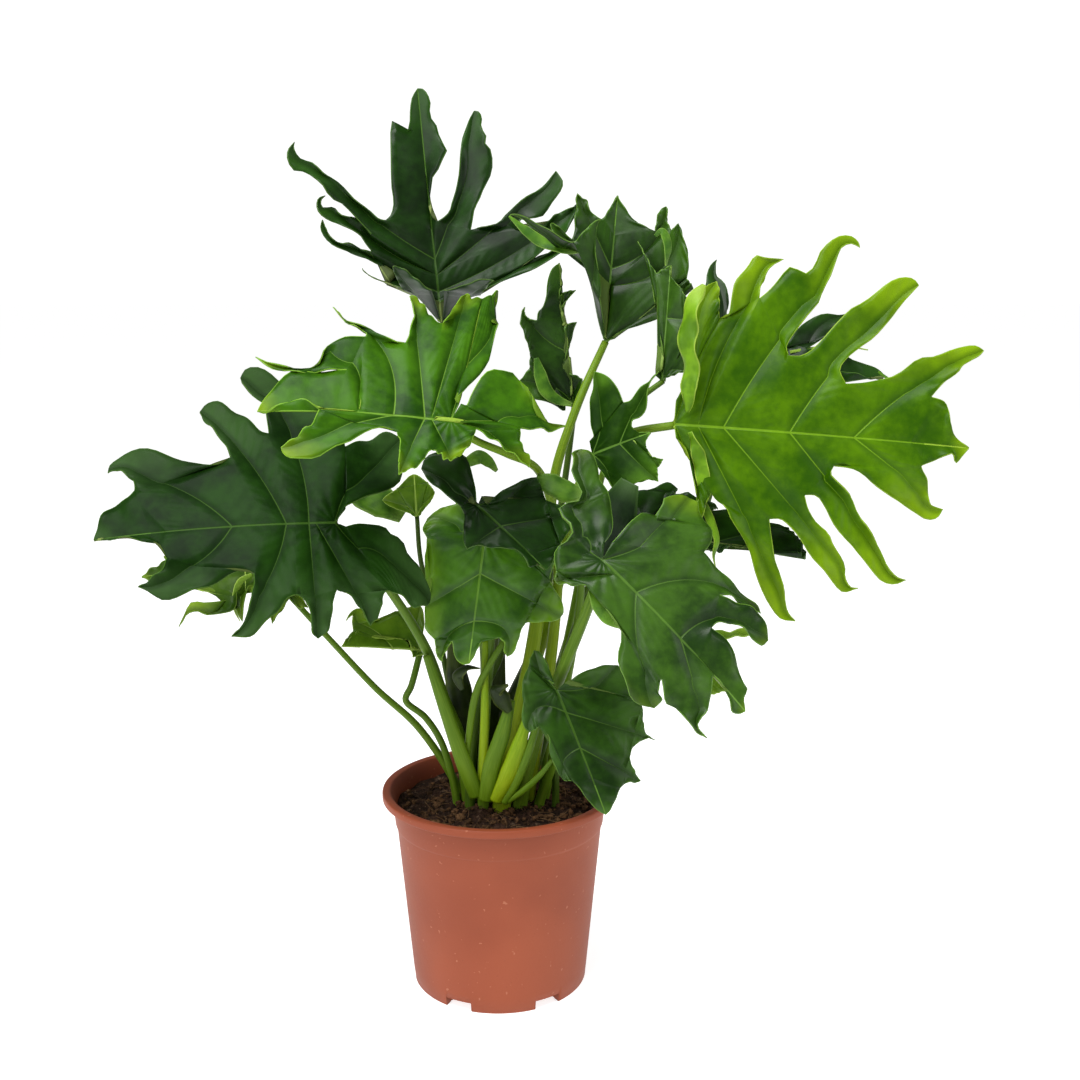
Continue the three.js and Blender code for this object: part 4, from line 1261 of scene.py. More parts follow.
def weave_apex(leaf, foot, sinus, side, draw):
    """The last strip of a half, from its last sinus to the apex. Its vein is the midrib."""
    relief = leaf["relief"]
    start, apex = np.array([foot, 0.0, 0.0]), np.array([leaf["length"], 0.0, 0.0])
    level = veins_level(leaf, foot)
    form = leaf["left" if side > 0 else "right"]["apex"]
    ripple = (relief["ripple"], APEX_RIPPLES, draw.uniform(*PHASES))
    edge = margin(sinus, apex, start, form, OUTER_SHARES, ripple)
    inner_edge = start + (sinus - start) * INNER_SHARES[:, None]
    inner_edge[:, 2] = sinus[2] * INNER_SHARES**2
    inner_vein = start + (apex - start) * (level * INNER_SHARES)[:, None]
    outer_vein = start + (apex - start) * (level + (1 - level) * OUTER_SHARES)[:, None]
    vein = np.concatenate([inner_vein, outer_vein])
    margin_line = np.concatenate([inner_edge, edge])
    points = vein[:, None] + (margin_line - vein)[:, None] * ACROSS[None, :, None]
    wave = relief["wave"] * np.sin(APEX_WAVE * ON_LOBE + draw.uniform(*PHASES))
    wave = wave * np.sin(math.pi * ON_LOBE)
    points[..., 2] += arched(relief, ACROSS) + wave * ACROSS**2.5
    along = points[..., 0] - foot
    far = np.full(along.shape, FAR)
    rib = np.stack([along, far, np.broadcast_to(ON_LOBE, along.shape)], axis=-1)
    return points, rib


# %% Weaving half a leaf
def weave_half(leaf, side, draw):
    """All the strips of one half of a leaf."""
    part = leaf["left" if side > 0 else "right"]
    stations = midrib_stations(leaf)
    strips = []
    station = 0
    sinus_before = flat_point(part["notch"], 1)
    for each in part["lobes"]:
        before = np.array([stations[station], 0.0, 0.0])
        station += 0 if each["spur"] else 1
        after = np.array([stations[station], 0.0, 0.0])
        is_first = station <= 1 and not each["spur"]
        root = before.copy() if is_first else before + (after - before) * VEIN_FOOT
        tip, sinus = flat_point(each["tip"]), flat_point(each["sinus"])
        points, vein = weave(leaf, before, root, after, sinus_before, sinus, each, tip, draw)
        strips.append(shape_lobe(leaf, points, vein, draw))
        sinus_before = sinus
    strips.append(weave_apex(leaf, stations[station], sinus_before, side, draw))
    return strips


# %% [markdown]
# ## From strips to a blade
#
# Neighbouring strips share the points of their fold lines, and both halves share the
# midrib, so points that fall together on the flat sheet are welded. The sheet is then
# doubled: the upper side lies above it, the underside below, with the veins raised as
# ribs, and a narrow rim closes the two along the margin.

# %% Faces and welded points
WELD = 0.02  # points nearer than this on the flat sheet are one


def strip_faces(points, start):
    """The quads of a strip whose points begin at the given number, turned face up."""
    rows, columns = points.shape[:2]
    number = start + np.arange(rows * columns).reshape(rows, columns)
    corners = [number[:-1, :-1], number[1:, :-1], number[1:, 1:], number[:-1, 1:]]
    quads = np.stack(corners, axis=-1).reshape(-1, 4)
    flat = points.reshape(-1, 3)[quads - start]
    diagonals = flat[:, 2] - flat[:, 0], flat[:, 3] - flat[:, 1]
    area = np.sum(cross(diagonals[0].T, diagonals[1].T))
    return quads if area > 0 else quads[:, ::-1]


def weld(flat):
    """For every point the number of its welded point, and the welded points."""
    keys = np.round(flat[:, :2] / WELD).astype(int)
    _, number = np.unique(keys, axis=0, return_inverse=True)
    number = number.ravel()
    count = number.max() + 1
    total = np.zeros((count, 3))
    np.add.at(total, number, flat)
    return number, total / np.bincount(number, minlength=count)[:, None]


# %% Normals and open edges
def sheet_normals(points, faces):
    """Normals in which every corner counts by its angle."""
    padded = np.array([face + face[-1:] * (4 - len(face)) for face in faces])
    triangles = np.concatenate([padded[:, [0, 1, 2]], padded[:, [0, 2, 3]]])
    triangles = triangles[triangles[:, 1] != triangles[:, 2]]
    corners = points[triangles]
    ahead = unit(np.roll(corners, -1, axis=1) - corners)
    back = unit(np.roll(corners, 1, axis=1) - corners)
    angle = np.arccos(np.clip(np.sum(ahead * back, axis=2), -1, 1))
    normals = np.zeros_like(points)
    np.add.at(normals, triangles, unit(np.cross(ahead, back)) * angle[..., None])
    return unit(normals)


def open_edges(faces):
    """The edges that belong to one face only, in that face's order."""
    edges = {}
    for face in faces:
        for first, second in zip(face, face[1:] + face[:1]):
            edges[first, second] = True
    return [edge for edge in edges if edge[::-1] not in edges]


# %% The arrays of a blade
MIDRIB_WIDTH = 1.6
MIDRIB_THINNING = 0.6
MIDRIB_DEPTH = 0.7
VEIN_ENDING = 3  # millimetres that a vein's tip counts as further away than its root


def joined_faces(quads, number):
    """Faces between welded points, and for each of their corners the point it came from."""
    faces, sources = [], []
    for quad in quads:
        face, source = [], []
        for corner in quad:
            if number[corner] not in face:
                face.append(int(number[corner]))
                source.append(corner)
        if len(face) > 2:
            faces.append(face)
            sources.extend(source)
    return faces, sources


def blade_arrays(leaf, draw):
    """Everything that a blade's mesh is made from."""
    flats, ribs, infos, quads = [], [], [], []
    start = 0
    for side in (1, -1):
        for points, rib in weave_half(leaf, side, draw):
            quads.append(strip_faces(points, start))
            start += points.shape[0] * points.shape[1]
            width = np.linalg.norm(points - points[:, -1:], axis=-1)
            other = np.linalg.norm(points - points[:, :1], axis=-1)
            edge = np.minimum(width, other)
            edge[: INNER_ROWS + 1] = FAR
            flats.append(points.reshape(-1, 3))
            ribs.append(rib.reshape(-1, 3))
            info = np.stack([points[..., 0] / leaf["length"], points[..., 1], edge], axis=-1)
            infos.append(info.reshape(-1, 3))
    flat, rib, info = (np.concatenate(each) for each in (flats, ribs, infos))
    number, welded = weld(flat)
    ahead = np.clip(welded[:, 0] / leaf["length"], 0, 1)
    middle = np.exp(-((welded[:, 1] / MIDRIB_WIDTH) ** 2)) * (1 - MIDRIB_THINNING * ahead)
    nearest = np.full(len(welded), FAR)
    np.minimum.at(nearest, number, rib[:, 1] + VEIN_ENDING * rib[:, 2])
    welded[:, 2] -= MIDRIB_DEPTH * middle
    faces, sources = joined_faces(np.concatenate(quads), number)
    return welded, faces, rib[sources], info[sources], middle, nearest


# %% Doubling the sheet
THICKNESS = 0.7
VEIN_WIDTH = 0.9
VEIN_RISE = 0.9  # how far a vein stands out from the underside
MIDRIB_RISE = 1.3
RIM_RIB = (9, 9, 0.5)  # the rim is told that it lies far from every vein
RIM_PLACE = (0.5, 20, 0)  # and right on the margin


def rim_faces(faces, count):
    """Faces that close a sheet and its copy, count points on, along their open edges."""
    return [[second, first, first + count, second + count] for first, second in open_edges(faces)]


def under_faces(faces, count):
    return [[corner + count for corner in reversed(face)] for face in faces]


def under_order(faces):
    """For each corner of the underside, the corner of the upper side that it lies under."""
    order = []
    start = 0
    for face in faces:
        order.extend(reversed(range(start, start + len(face))))
        start += len(face)
    return order


# %% Making a blade
def make_blade(name, leaf, material, slot):
    """One blade as a mesh: the two sides of the sheet and the rim between them."""
    draw = np.random.default_rng(leaf["seed"])
    flat, faces, rib, info, middle, nearest = blade_arrays(leaf, draw)
    points = in_space(leaf, flat)
    normals = sheet_normals(points, faces)
    raised = VEIN_RISE * np.exp(-((nearest / VEIN_WIDTH) ** 2)) + MIDRIB_RISE * middle
    top = points + normals * (THICKNESS / 2)
    bottom = points - normals * (THICKNESS / 2 + raised)[:, None]
    count = len(points)
    rim = rim_faces(faces, count)
    piece = make_piece(name, np.concatenate([top, bottom]), faces + under_faces(faces, count) + rim,
                       material, slot, [f"blade_{name.removeprefix('leaf_')}"])
    order = under_order(faces)
    blank = np.zeros((4 * len(rim), 3))
    store(piece, "rib", "CORNER", np.concatenate([rib, rib[order], blank + RIM_RIB]))
    store(piece, "leaf", "CORNER", np.concatenate([info, info[order], blank + RIM_PLACE]))
    back = np.zeros((2 * count, 3))
    back[count:, 0] = 1
    store(piece, "under", "POINT", back)
    return piece


# %% [markdown]
# ## The look of a leaf
#
# Each leaf has its own green. The upper side is glossy, with fine light veins, the
# underside is paler and duller. The stored distances to the veins draw the lines, so
# they always follow the sheet, however it bends.

# %% Creases and ridges
CREASES = 13  # folds that spread from where the stalk meets the sheet, in a full turn
CREASE_WANDER = 7  # how much the patches bend them
CREASE_REACH = (0.62, 0.12)  # shares of the length, from gone to full
CREASE_START = 0.08
RIDGE_SLANT = 0.9
RIDGE_WANDER = 5
RIDGE_START = (0.5, 5.0)  # millimetres from a vein
RIDGE_GAPS = (0.42, 0.6)


def creases(ahead, aside, length, broad):
    """-1 to 1: the soft folds that spread from the stalk."""
    forward = ahead * length
    turn = aside.math("ARCTAN2", forward)
    from_stalk = (forward * forward + aside * aside).math("SQRT") / length
    crease = (turn * CREASES + (broad - 0.5) * CREASE_WANDER).math("SINE")
    return crease * from_stalk.step(*CREASE_REACH) * from_stalk.step(0.0, CREASE_START)


def ridges(along, across, spacing, broad):
    """-1 to 1: the fine ridges that run slantwise from a vein."""
    wander = (broad - 0.5) * RIDGE_WANDER
    ridge = ((along - across * RIDGE_SLANT) / spacing + wander).math("SINE")
    return ridge * across.step(*RIDGE_START) * broad.step(*RIDGE_GAPS)


# %% Vein lines
SIDE_VEIN = (0.75, 0.55)  # half its width at the root, and how much of it is lost
MIDRIB = (1.25, 0.7)


def vein_lines(ahead, aside, across, share):
    """1 on the midrib and on the side veins, 0 beside them."""
    side_vein = (across / (SIDE_VEIN[0] - SIDE_VEIN[1] * share)).step(1.0, 0.35)
    width = MIDRIB[0] - MIDRIB[1] * ahead
    middle = (aside.math("ABSOLUTE") / width).step(1.0, 0.5) * ahead.step(-0.02, 0.0)
    return side_vein.math("MAXIMUM", middle)


# %% Leaf material
BROAD_PATCHES = (22, 3, 0.55)  # scale, detail and roughness of a noise
FINE_GRAIN = (160, 3, 0.6)
MOTTLING = (0.34, 0.66)
# VEIN_SHADE: how far the painted shade beside a vein reaches.
VEIN_SHADE = 4.5  # millimetres on either side
VEIN_VALLEY = 6
VEIN_FADING = (0.1, 0.8)  # shares of a vein's length
RIM = (0.75, 0.25)  # millimetres from the margin, from gone to full
BUMP_DISTANCE = 0.0012  # metres


def upper_side(paint, tones, marks):
    """The greens of the upper side, laid over each other from the broadest to the finest, with painted shade
    and light on the creases and painted shade beside the veins.
    """
    body = paint.mix(marks["blotch"], tones["deep"], tones["light"])
    # Lighter lobe tips; on the leaf that lies flat on, the tip tone is a painted sheen.
    tipward = (marks["share"] + (marks["broad"] - 0.5) * 0.5).step(*tones["tip_from"])
    body = paint.mix(tipward * tones["tip_share"], body, tones["tip"])
    # Painted shade on one side of each crease, and painted light on the other.
    body = paint.mix(marks["crease"].step(0.2, 1.0) * 0.3, body, tones["deep"])
    body = paint.mix(marks["crease"].step(-0.3, -1.0) * 0.22, body, tones["light"])
    # Painted shade in the valley on either side of each vein.
    body = paint.mix((marks["across"] / VEIN_SHADE).step(1.0, 0.15) * 0.5, body, tones["deep"])
    faint = 1 - marks["share"].step(*VEIN_FADING) * 0.8
    body = paint.mix(marks["line"] * faint * tones["vein_share"], body, tones["vein"])
    return paint.mix(marks["edge"].step(*RIM) * 0.7, body, tones["rim"])


def leaf_material(name, tones, length):
    paint = Paint(name)
    along, across, share = paint.attribute("rib")
    ahead, aside, edge = paint.attribute("leaf")
    under = paint.attribute("under")[0]
    broad = paint.noise(*BROAD_PATCHES)
    fine = paint.noise(*FINE_GRAIN)
    blotch = (broad * 0.75 + fine * 0.25).step(*MOTTLING)
    crease = creases(ahead, aside, length, broad)
    line = vein_lines(ahead, aside, across, share)
    marks = dict(blotch=blotch, share=share, broad=broad, crease=crease, across=across, line=line,
                 edge=edge)
    back = paint.mix(blotch * 0.6, tones["back"], tones["back_light"])
    back = paint.mix(line * 0.7, back, tones["back_vein"])
    body = paint.mix(under, upper_side(paint, tones, marks), back)
    ridge = ridges(along, across, tones["spacing"], broad)
    valley = (across / VEIN_VALLEY).step(1.0, 0.0) * share.step(1.0, 0.3)
    height = fine * 0.06 + ridge * 0.16 - line * 0.3 + broad * 0.6 - crease * 0.35 - valley
    roughness = tones["rough"] + 0.16 * broad + 0.2 * under
    return paint.finish(Base_Color=body, Roughness=roughness,
                        Normal=paint.bump(height, 0.5, BUMP_DISTANCE),
                        Specular_IOR_Level=tones["gloss"])


print("a leaf has", CREASES, "creases round its stalk")


# %% [markdown]
# ## The greens
#
# No two leaves have the same age or face the light in the same way. So each has a set of
# tones, given as they look on a screen: deep and light for the mottling, then the tips,
# the veins, the rim and the underside. Old leaves are dark, young ones yellowish.

# %% Sets of tones
USUAL = dict(tip_from=(0.5, 1.0), tip_share=0.6, vein_share=0.6, spacing=1.5, gloss=0.22,
             rough=0.27)


def tones(deep, light, tip, vein, **others):
    """The tones of one leaf. Those that aren't given follow from the ones that are."""
    shades = dict(deep=deep, light=light, tip=tip, vein=vein, rim=vein, back=light,
                  back_light=vein, back_vein=vein)
    given = {**shades, **USUAL, **others}
    return {name: colour(*value) if name in shades else value for name, value in given.items()}


DEEP = tones((5, 24, 0), (22, 52, 6), (38, 76, 12), (70, 104, 36), back=(54, 66, 26), gloss=0.16,
             back_light=(78, 92, 48), back_vein=(116, 132, 70), vein_share=0.4)
DARK = tones((12, 34, 1), (36, 68, 8), (56, 94, 12), (90, 128, 44), back=(62, 82, 30), gloss=0.16,
             back_light=(80, 102, 40), back_vein=(120, 144, 66), vein_share=0.4)
FRESH = tones((16, 42, 2), (48, 82, 14), (70, 108, 20), (104, 144, 56), back=(70, 94, 30), gloss=0.2,
              back_light=(88, 116, 40), back_vein=(128, 154, 70), vein_share=0.42)
MIDDLE = tones((18, 52, 0), (54, 98, 4), (104, 146, 6), (126, 170, 56), back=(78, 108, 20),
               back_light=(98, 132, 30), back_vein=(140, 168, 60), gloss=0.18, vein_share=0.45)
BRIGHT = tones((36, 72, 0), (72, 111, 0), (132, 165, 14), (126, 168, 36), back=(92, 120, 12),
               back_light=(112, 142, 20), back_vein=(156, 182, 50), gloss=0.1, vein_share=0.45,
               rim=(142, 172, 54))
PALE = tones((62, 96, 10), (98, 134, 26), (130, 160, 40), (156, 184, 80), back=(106, 134, 36),
             back_light=(124, 152, 50), back_vein=(156, 182, 84), gloss=0.18)

# The leaf that lies flat on: its tip tone is a painted sheen on the outer parts of its lobes.
FLAT_ON = dict(DEEP, deep=colour(6, 27, 1), light=colour(24, 54, 8), gloss=0.045, rough=0.34,
               tip=colour(62, 90, 46), tip_from=(0.4, 0.95), tip_share=0.4)
BRIGHT_FLAT = dict(MIDDLE, gloss=0.1, rough=0.32, tip=colour(148, 178, 20), tip_from=(0.7, 1.1))
FOLDED = dict(FRESH, gloss=0.03, rough=0.36)
SUNLIT = dict(FRESH, deep=colour(18, 44, 4), light=colour(52, 86, 17), tip=colour(118, 150, 16),
              tip_from=(0.8, 1.15), vein_share=0.3)
HANGING = dict(MIDDLE, deep=colour(22, 58, 2), light=colour(62, 108, 8), gloss=0.26,
               vein_share=0.32)
UNDERNEATH = dict(PALE, deep=colour(32, 58, 4), light=colour(58, 86, 10), rim=colour(104, 132, 50),
                  back=colour(66, 92, 18), back_light=colour(88, 114, 30), gloss=0.08)
LOW = dict(DARK, deep=colour(13, 36, 2), light=colour(38, 71, 10), tip=colour(70, 106, 40),
           tip_from=(0.4, 1.0), vein_share=0.3)

SLOTS = {"leaf_dark": ("left_large", "top_left_dark", "top_folded", "top_narrow", "right_rear",
                       "front_right", "centre_dark", "rim_front", "centre_rear_spiky",
                       "right_low_dark"),
         "leaf_yellow_green": ("right_bright",)}
GREENS = dict(
    left_large=FLAT_ON, top_left_dark=DEEP, centre_dark=DEEP, right_rear=DEEP, right_low_dark=DEEP,
    centre_rear_spiky=DARK, rim_front=LOW, top_folded=DARK, top_narrow=FRESH,
    front_right=SUNLIT, centre_right_folded=FOLDED, centre_hanging=HANGING, left_bright=BRIGHT_FLAT,
    right_bright=BRIGHT, left_low_curled=UNDERNEATH, left_low_small=PALE, right_low_small=PALE,
    young_centre=PALE,
)


# %% The blades
FIRST_SEED = 40
PLAIN_LENGTH = 120  # length of the leaf that the heights of the relief are given for
LARGEST = 1.2  # times those heights, however long the leaf
RELIEF = dict(arch=3.2, droop=1.5, twist=2, wave=2.0, ripple=0.3)


def slot_of(name):
    return next((slot for slot, names in SLOTS.items() if name in names), "leaf_mid")


for number, (name, leaf) in enumerate(LEAVES.items()):
    size = min(leaf["length"] / PLAIN_LENGTH, LARGEST)
    leaf["seed"] = FIRST_SEED + number
    leaf["relief"] = {form: height * size for form, height in RELIEF.items()}
    material = leaf_material(f"leaf {name}", GREENS[name], leaf["length"])
    blade = make_blade(f"leaf_{name}", leaf, material, slot_of(name))
    print(blade.name, len(blade.data.vertices), "points")


# %% [markdown]
# ## Leaf stalks
#
# A leaf stalk is round and thins towards the blade. Its course is a smooth curve through
# a few places, swept here with a fine ring. Most follow the plain stalks. Three run
# behind the leaves in front, closer to the cluster, since the photo shows white where a
# straighter way would take them.

# %% The course of a stalk
SOIL_LEVEL = 131
STALK_DEPTH = 14
STRAIGHT_ABOVE = 3  # a stalk leaves the soil upright
PLAIN_THICKNESS = 0.8  # of the plain blade, which a stalk stops short of
STALK_GAP = 0.35
HIDDEN_COURSES = dict(  # places (right, down, depth) in the photo
    right_rear=[(716, 462, 74), (702, 512, 62), (655, 550, 48), (598, 576, 34), (572, 630, 32),
                (553, 690, 34)],
    right_low_dark=[(612, 556, 8), (586, 602, 12), (567, 655, 14), (552, 712, 15)],
    right_low_small=[(664, 640, -30), (632, 606, -12), (600, 596, -2), (577, 632, 0), (560, 690, 0)],
)


def stalk_course(name, leaf):
    """The places of a stalk, from its foot in the soil up to its blade."""
    x, y = leaf["foot"]
    below = leaf["radii"][-1] + PLAIN_THICKNESS / 2 + STALK_GAP
    end = in_space(leaf, (0, 0, -below))
    hidden = HIDDEN_COURSES.get(name, ())
    course = [on_sight_line(*place) for place in hidden] or leaf["stalk"]
    foot = [(x, y, SOIL_LEVEL - STALK_DEPTH), (x, y, SOIL_LEVEL + STRAIGHT_ABOVE)]
    return np.array([*foot, *reversed(course), end], dtype=float)


# %% Sweeping a tube
RING = 20
OFF_EVERY_COURSE = (0, 1, 0.2)  # a direction that no stalk starts out in


def ring_frames(line):
    """Two directions across the line at each point, carried along without twisting."""
    ahead = unit(np.gradient(line, axis=0))
    side = unit(np.cross(ahead[0], OFF_EVERY_COURSE))
    sides = []
    for way in ahead:
        side = unit(side - way * np.dot(side, way))
        sides.append(side)
    sides = np.array(sides)
    return sides, np.cross(ahead, sides)


def tube(line, radii, flat=1.0):
    """Points and faces of a closed tube. flat narrows one direction."""
    first, second = ring_frames(line)
    angle = np.linspace(0, 2 * math.pi, RING, endpoint=False)
    around = (first[:, None] * np.cos(angle)[None, :, None]
              + second[:, None] * (np.sin(angle) * flat)[None, :, None])
    points = (line[:, None] + around * radii[:, None, None]).reshape(-1, 3)
    faces = []
    for row in range(len(line) - 1):
        for column in range(RING):
            after = (column + 1) % RING
            near, far = row * RING, (row + 1) * RING
            faces.append([near + column, near + after, far + after, far + column])
    faces.append(list(range(RING))[::-1])
    faces.append([len(points) - RING + column for column in range(RING)])
    return points, faces


# %% Stalk material
FINE_BUMP = 0.0006  # metres


def stalk_material(name, low, high, streak):
    """Green with fine streaks along it, changing in colour from foot to blade."""
    paint = Paint(name)
    share, around, _ = paint.attribute("along")
    lengthwise = paint.node("ShaderNodeCombineXYZ", {}, {0: share * 3, 1: around * 14})
    streaks = paint.noise(1.0, 4, 0.6, lengthwise)
    patches = paint.noise(90, 3, 0.6)
    body = paint.mix(share.step(0.15, 0.85), low, high)
    body = paint.mix(streaks.step(0.4, 0.7) * 0.45, body, streak)
    body = paint.mix(patches.step(0.6, 0.75) * 0.35, body, high)
    bump = paint.bump(streaks + patches * 0.3, 0.3, FINE_BUMP)
    return paint.finish(Base_Color=body, Roughness=0.38 + 0.15 * patches, Normal=bump,
                        Specular_IOR_Level=0.18)


# %% The stalks
STALK_ROWS = 90
# Lit stalks get a lighter copy of the green, which is painted light; stalks under the leaves get a darker
# one, which is painted shade.
GREEN_STALK = (colour(84, 116, 16), colour(66, 98, 16), colour(120, 146, 44))
SHADED_STALK = (colour(58, 84, 10), colour(52, 76, 14), colour(90, 116, 36))
LIT_STALK = (colour(118, 142, 4), colour(84, 118, 12), colour(150, 168, 44))
STALK_GREENS = dict(
    top_folded=LIT_STALK, right_bright=LIT_STALK, left_bright=LIT_STALK,
    centre_rear_spiky=SHADED_STALK, right_low_dark=SHADED_STALK, right_low_small=SHADED_STALK,
    right_rear=SHADED_STALK, young_centre=SHADED_STALK, centre_dark=SHADED_STALK,
)


def store_along(piece, shares):
    """Keeps on a tube how far along and how far round each point lies."""
    around = np.tile(np.sin(np.linspace(0, 2 * math.pi, RING, endpoint=False)), len(shares))
    along = np.repeat(shares, RING)
    store(piece, "along", "POINT", np.stack([along, around, around * 0], axis=1))


def spread(values, shares):
    """Values given at even steps, taken at the shares."""
    return np.interp(shares, np.linspace(0, 1, len(values)), values)


for name, leaf in LEAVES.items():
    shares = np.linspace(0, 1, STALK_ROWS)
    line = smooth_line(stalk_course(name, leaf), shares)
    points, faces = tube(line, spread(leaf["radii"], shares))
    material = stalk_material(f"stalk {name}", *STALK_GREENS.get(name, GREEN_STALK))
    piece = make_piece(f"stem_{name}", points, faces, material, "stalk", [f"stalk_{name}"])
    store_along(piece, shares)
print(len(LEAVES), "stalks,", len(HIDDEN_COURSES), "of them on a course of their own")


# %% [markdown]
# ## Frills, flaps, bases and sheaths
#
# Leaves of this plant curl so strongly that parts of their margins stand free: a frill
# folds over the edge, a lobe hangs down as a thin twisted strip, and dry threads stay
# where a tip has withered. Between the stalks stand the short sheaths that once wrapped
# the young leaves. All of them are narrow sheets along a line, so one function makes
# them. Its line is read off the photo, and each place is given its depth, front to back.

# %% Strip material
def strip_material(name, body, light, rim):
    """Green mottled with a lighter one, with a light rim and faint lengthwise lines."""
    paint = Paint(name)
    share, aside, _ = paint.attribute("strip")
    clouds = paint.noise(60, 3, 0.55)
    lengthwise = paint.node("ShaderNodeCombineXYZ", {}, {0: share * 2, 1: aside * 4})
    lines = paint.noise(2.0, 3, 0.6, lengthwise)
    green = paint.mix(clouds.step(0.35, 0.65), body, light)
    green = paint.mix(aside.math("ABSOLUTE").step(0.8, 1.0) * 0.7, green, rim)
    green = paint.mix(share.step(0.75, 1.0) * 0.5, green, rim)
    bump = paint.bump(lines + clouds * 0.4, 0.35, FINE_BUMP)
    return paint.finish(Base_Color=green, Roughness=0.4 + 0.15 * clouds, Normal=bump,
                        Specular_IOR_Level=0.2)


# %% Narrow sheets along a line
STRIP_ROWS = 60
STRIP_COLUMNS = 7
STRIP_THICKNESS = 0.5
OTHER_EDGE = 0.83  # its ruffles, as a share of the first edge's


def ruffled(shares, column, number, draw):
    """A wave along each edge of a strip, which the two edges don't share."""
    phase = draw.uniform(0, FULL_TURN, 2)
    first = np.sin(FULL_TURN * number * shares[:, None] + phase[0])
    other = np.sin(FULL_TURN * number * OTHER_EDGE * shares[:, None] + phase[1])
    return np.where(column[None] < 0, first, other)


def strip_frame(middle, turns):
    """The directions across a strip and out of its face, turned by so many radians."""
    ahead = unit(np.gradient(middle, axis=0))
    side = unit(np.cross(ahead, unit(middle - np.array(CAMERA_PLACE))))
    face = np.cross(side, ahead)
    cosine, sine = np.cos(turns)[:, None], np.sin(turns)[:, None]
    return side * cosine + face * sine, face * cosine - side * sine


def make_strip(name, line, widths, material, slot, turn=0, twist=0, waves=(0, 0), cup=0.15, seed=1):
    """A sheet along a line of (right, down, depth), its width changing as widths does.

    turn and twist are in degrees: how the sheet first faces, and how far it twists on
    its way. waves are the height of the ruffle along the margin, and its number.
    """
    shares = np.linspace(0, 1, STRIP_ROWS)
    column = np.linspace(-1, 1, STRIP_COLUMNS)
    middle = smooth_line(np.array([on_sight_line(*place) for place in line]), shares)
    side, face = strip_frame(middle, np.radians(turn + twist * shares))
    half_width = spread(widths, shares)[:, None] / 2
    height, number = waves
    ruffle = ruffled(shares, column, number, np.random.default_rng(seed))
    lift = cup * half_width * column[None] ** 2 + height * ruffle * np.abs(column[None]) ** 1.5
    sheet = (middle[:, None] + side[:, None] * (half_width * column[None])[..., None]
             + face[:, None] * lift[..., None])
    number_of = np.arange(STRIP_ROWS * STRIP_COLUMNS).reshape(STRIP_ROWS, STRIP_COLUMNS)
    corners = [number_of[:-1, :-1], number_of[1:, :-1], number_of[1:, 1:], number_of[:-1, 1:]]
    faces = np.stack(corners, axis=-1).reshape(-1, 4).tolist()
    points = sheet.reshape(-1, 3)
    normals = sheet_normals(points, faces) * (STRIP_THICKNESS / 2)
    count = len(points)
    solid = np.concatenate([points + normals, points - normals])
    piece = make_piece(name, solid, faces + under_faces(faces, count) + rim_faces(faces, count),
                       material, slot)
    along, aside = np.meshgrid(shares, column, indexing="ij")
    stored = np.stack([along.ravel(), aside.ravel(), aside.ravel() * 0], axis=1)
    store(piece, "strip", "POINT", np.concatenate([stored, stored]))
    print(name, "is up to", max(widths), "mm wide")


# %% Frills and hanging strips of the bright leaf on the right
bright_frill = strip_material("bright frill", colour(70, 108, 2), colour(104, 146, 14), colour(158, 184, 70))
make_strip("frill_upper", [(686, 412, -28), (690, 380, -29), (688, 350, -29), (687, 325, -28),
                           (693, 302, -26), (703, 284, -24)],
           (3, 13, 12, 15, 14, 4), bright_frill, "leaf_yellow_green",
           turn=25, twist=20, waves=(2.6, 3.4), seed=3)
make_strip("frill_lower", [(690, 432, -30), (698, 455, -32), (703, 478, -33), (704, 500, -34)],
           (3, 9, 10, 5), bright_frill, "leaf_yellow_green",
           turn=-20, twist=30, waves=(2.0, 2.6), seed=4)
make_strip("hanging_strip_short", [(703, 498, -34), (698, 512, -36), (694, 524, -37), (691, 533, -37)],
           (5, 8, 6, 1), bright_frill, "leaf_yellow_green", turn=20, twist=70, seed=5)
make_strip("hanging_strip_long", [(704, 505, -33), (712, 524, -35), (717, 540, -36), (714, 556, -36),
                                  (716, 569, -36)], (5, 6, 5, 4, 1), bright_frill, "leaf_yellow_green",
           turn=-10, twist=90, seed=6)

# %% Folded margins of the darker leaves
deep_shaded_fold = strip_material("deep fold", colour(8, 30, 3), colour(20, 46, 8), colour(60, 92, 34))
fresh_fold = strip_material("fresh fold", colour(44, 84, 8), colour(86, 128, 28), colour(128, 160, 70))
pale_fold = strip_material("pale fold", colour(96, 130, 30), colour(128, 156, 52), colour(160, 182, 90))
make_strip("flap_front_right", [(590, 590, -112), (600, 606, -116), (610, 617, -119), (622, 623, -121)],
           (3, 9, 11, 8), fresh_fold, "leaf_dark", turn=15, twist=-20, waves=(1.0, 1.5), seed=7)
make_strip("fold_top", [(509, 216, 34), (528, 232, 32), (546, 244, 30), (562, 249, 28), (582, 251, 26)],
           (1, 7, 8, 7, 3), fresh_fold, "leaf_dark", turn=10, twist=40, waves=(1.0, 2.2), seed=8)
make_strip("fold_narrow", [(655, 236, 12), (662, 231, 10), (668, 245, 9), (666, 266, 9)], (2, 6, 6, 2),
           fresh_fold, "leaf_dark", twist=60, seed=9)
make_strip("band_rear", [(536, 358, 38), (540, 374, 37), (546, 390, 36), (558, 400, 36), (572, 405, 37)],
           (3, 9, 10, 7, 3), fresh_fold, "leaf_dark", turn=-10, twist=30, waves=(0.8, 2), seed=10)
make_strip("lobe_rear_dark", [(536, 478, -40), (552, 484, -44), (568, 490, -46), (582, 494, -44)],
           (6, 17, 19, 9), fresh_fold, "leaf_dark", turn=20, twist=25, waves=(1.4, 1.6), seed=11)
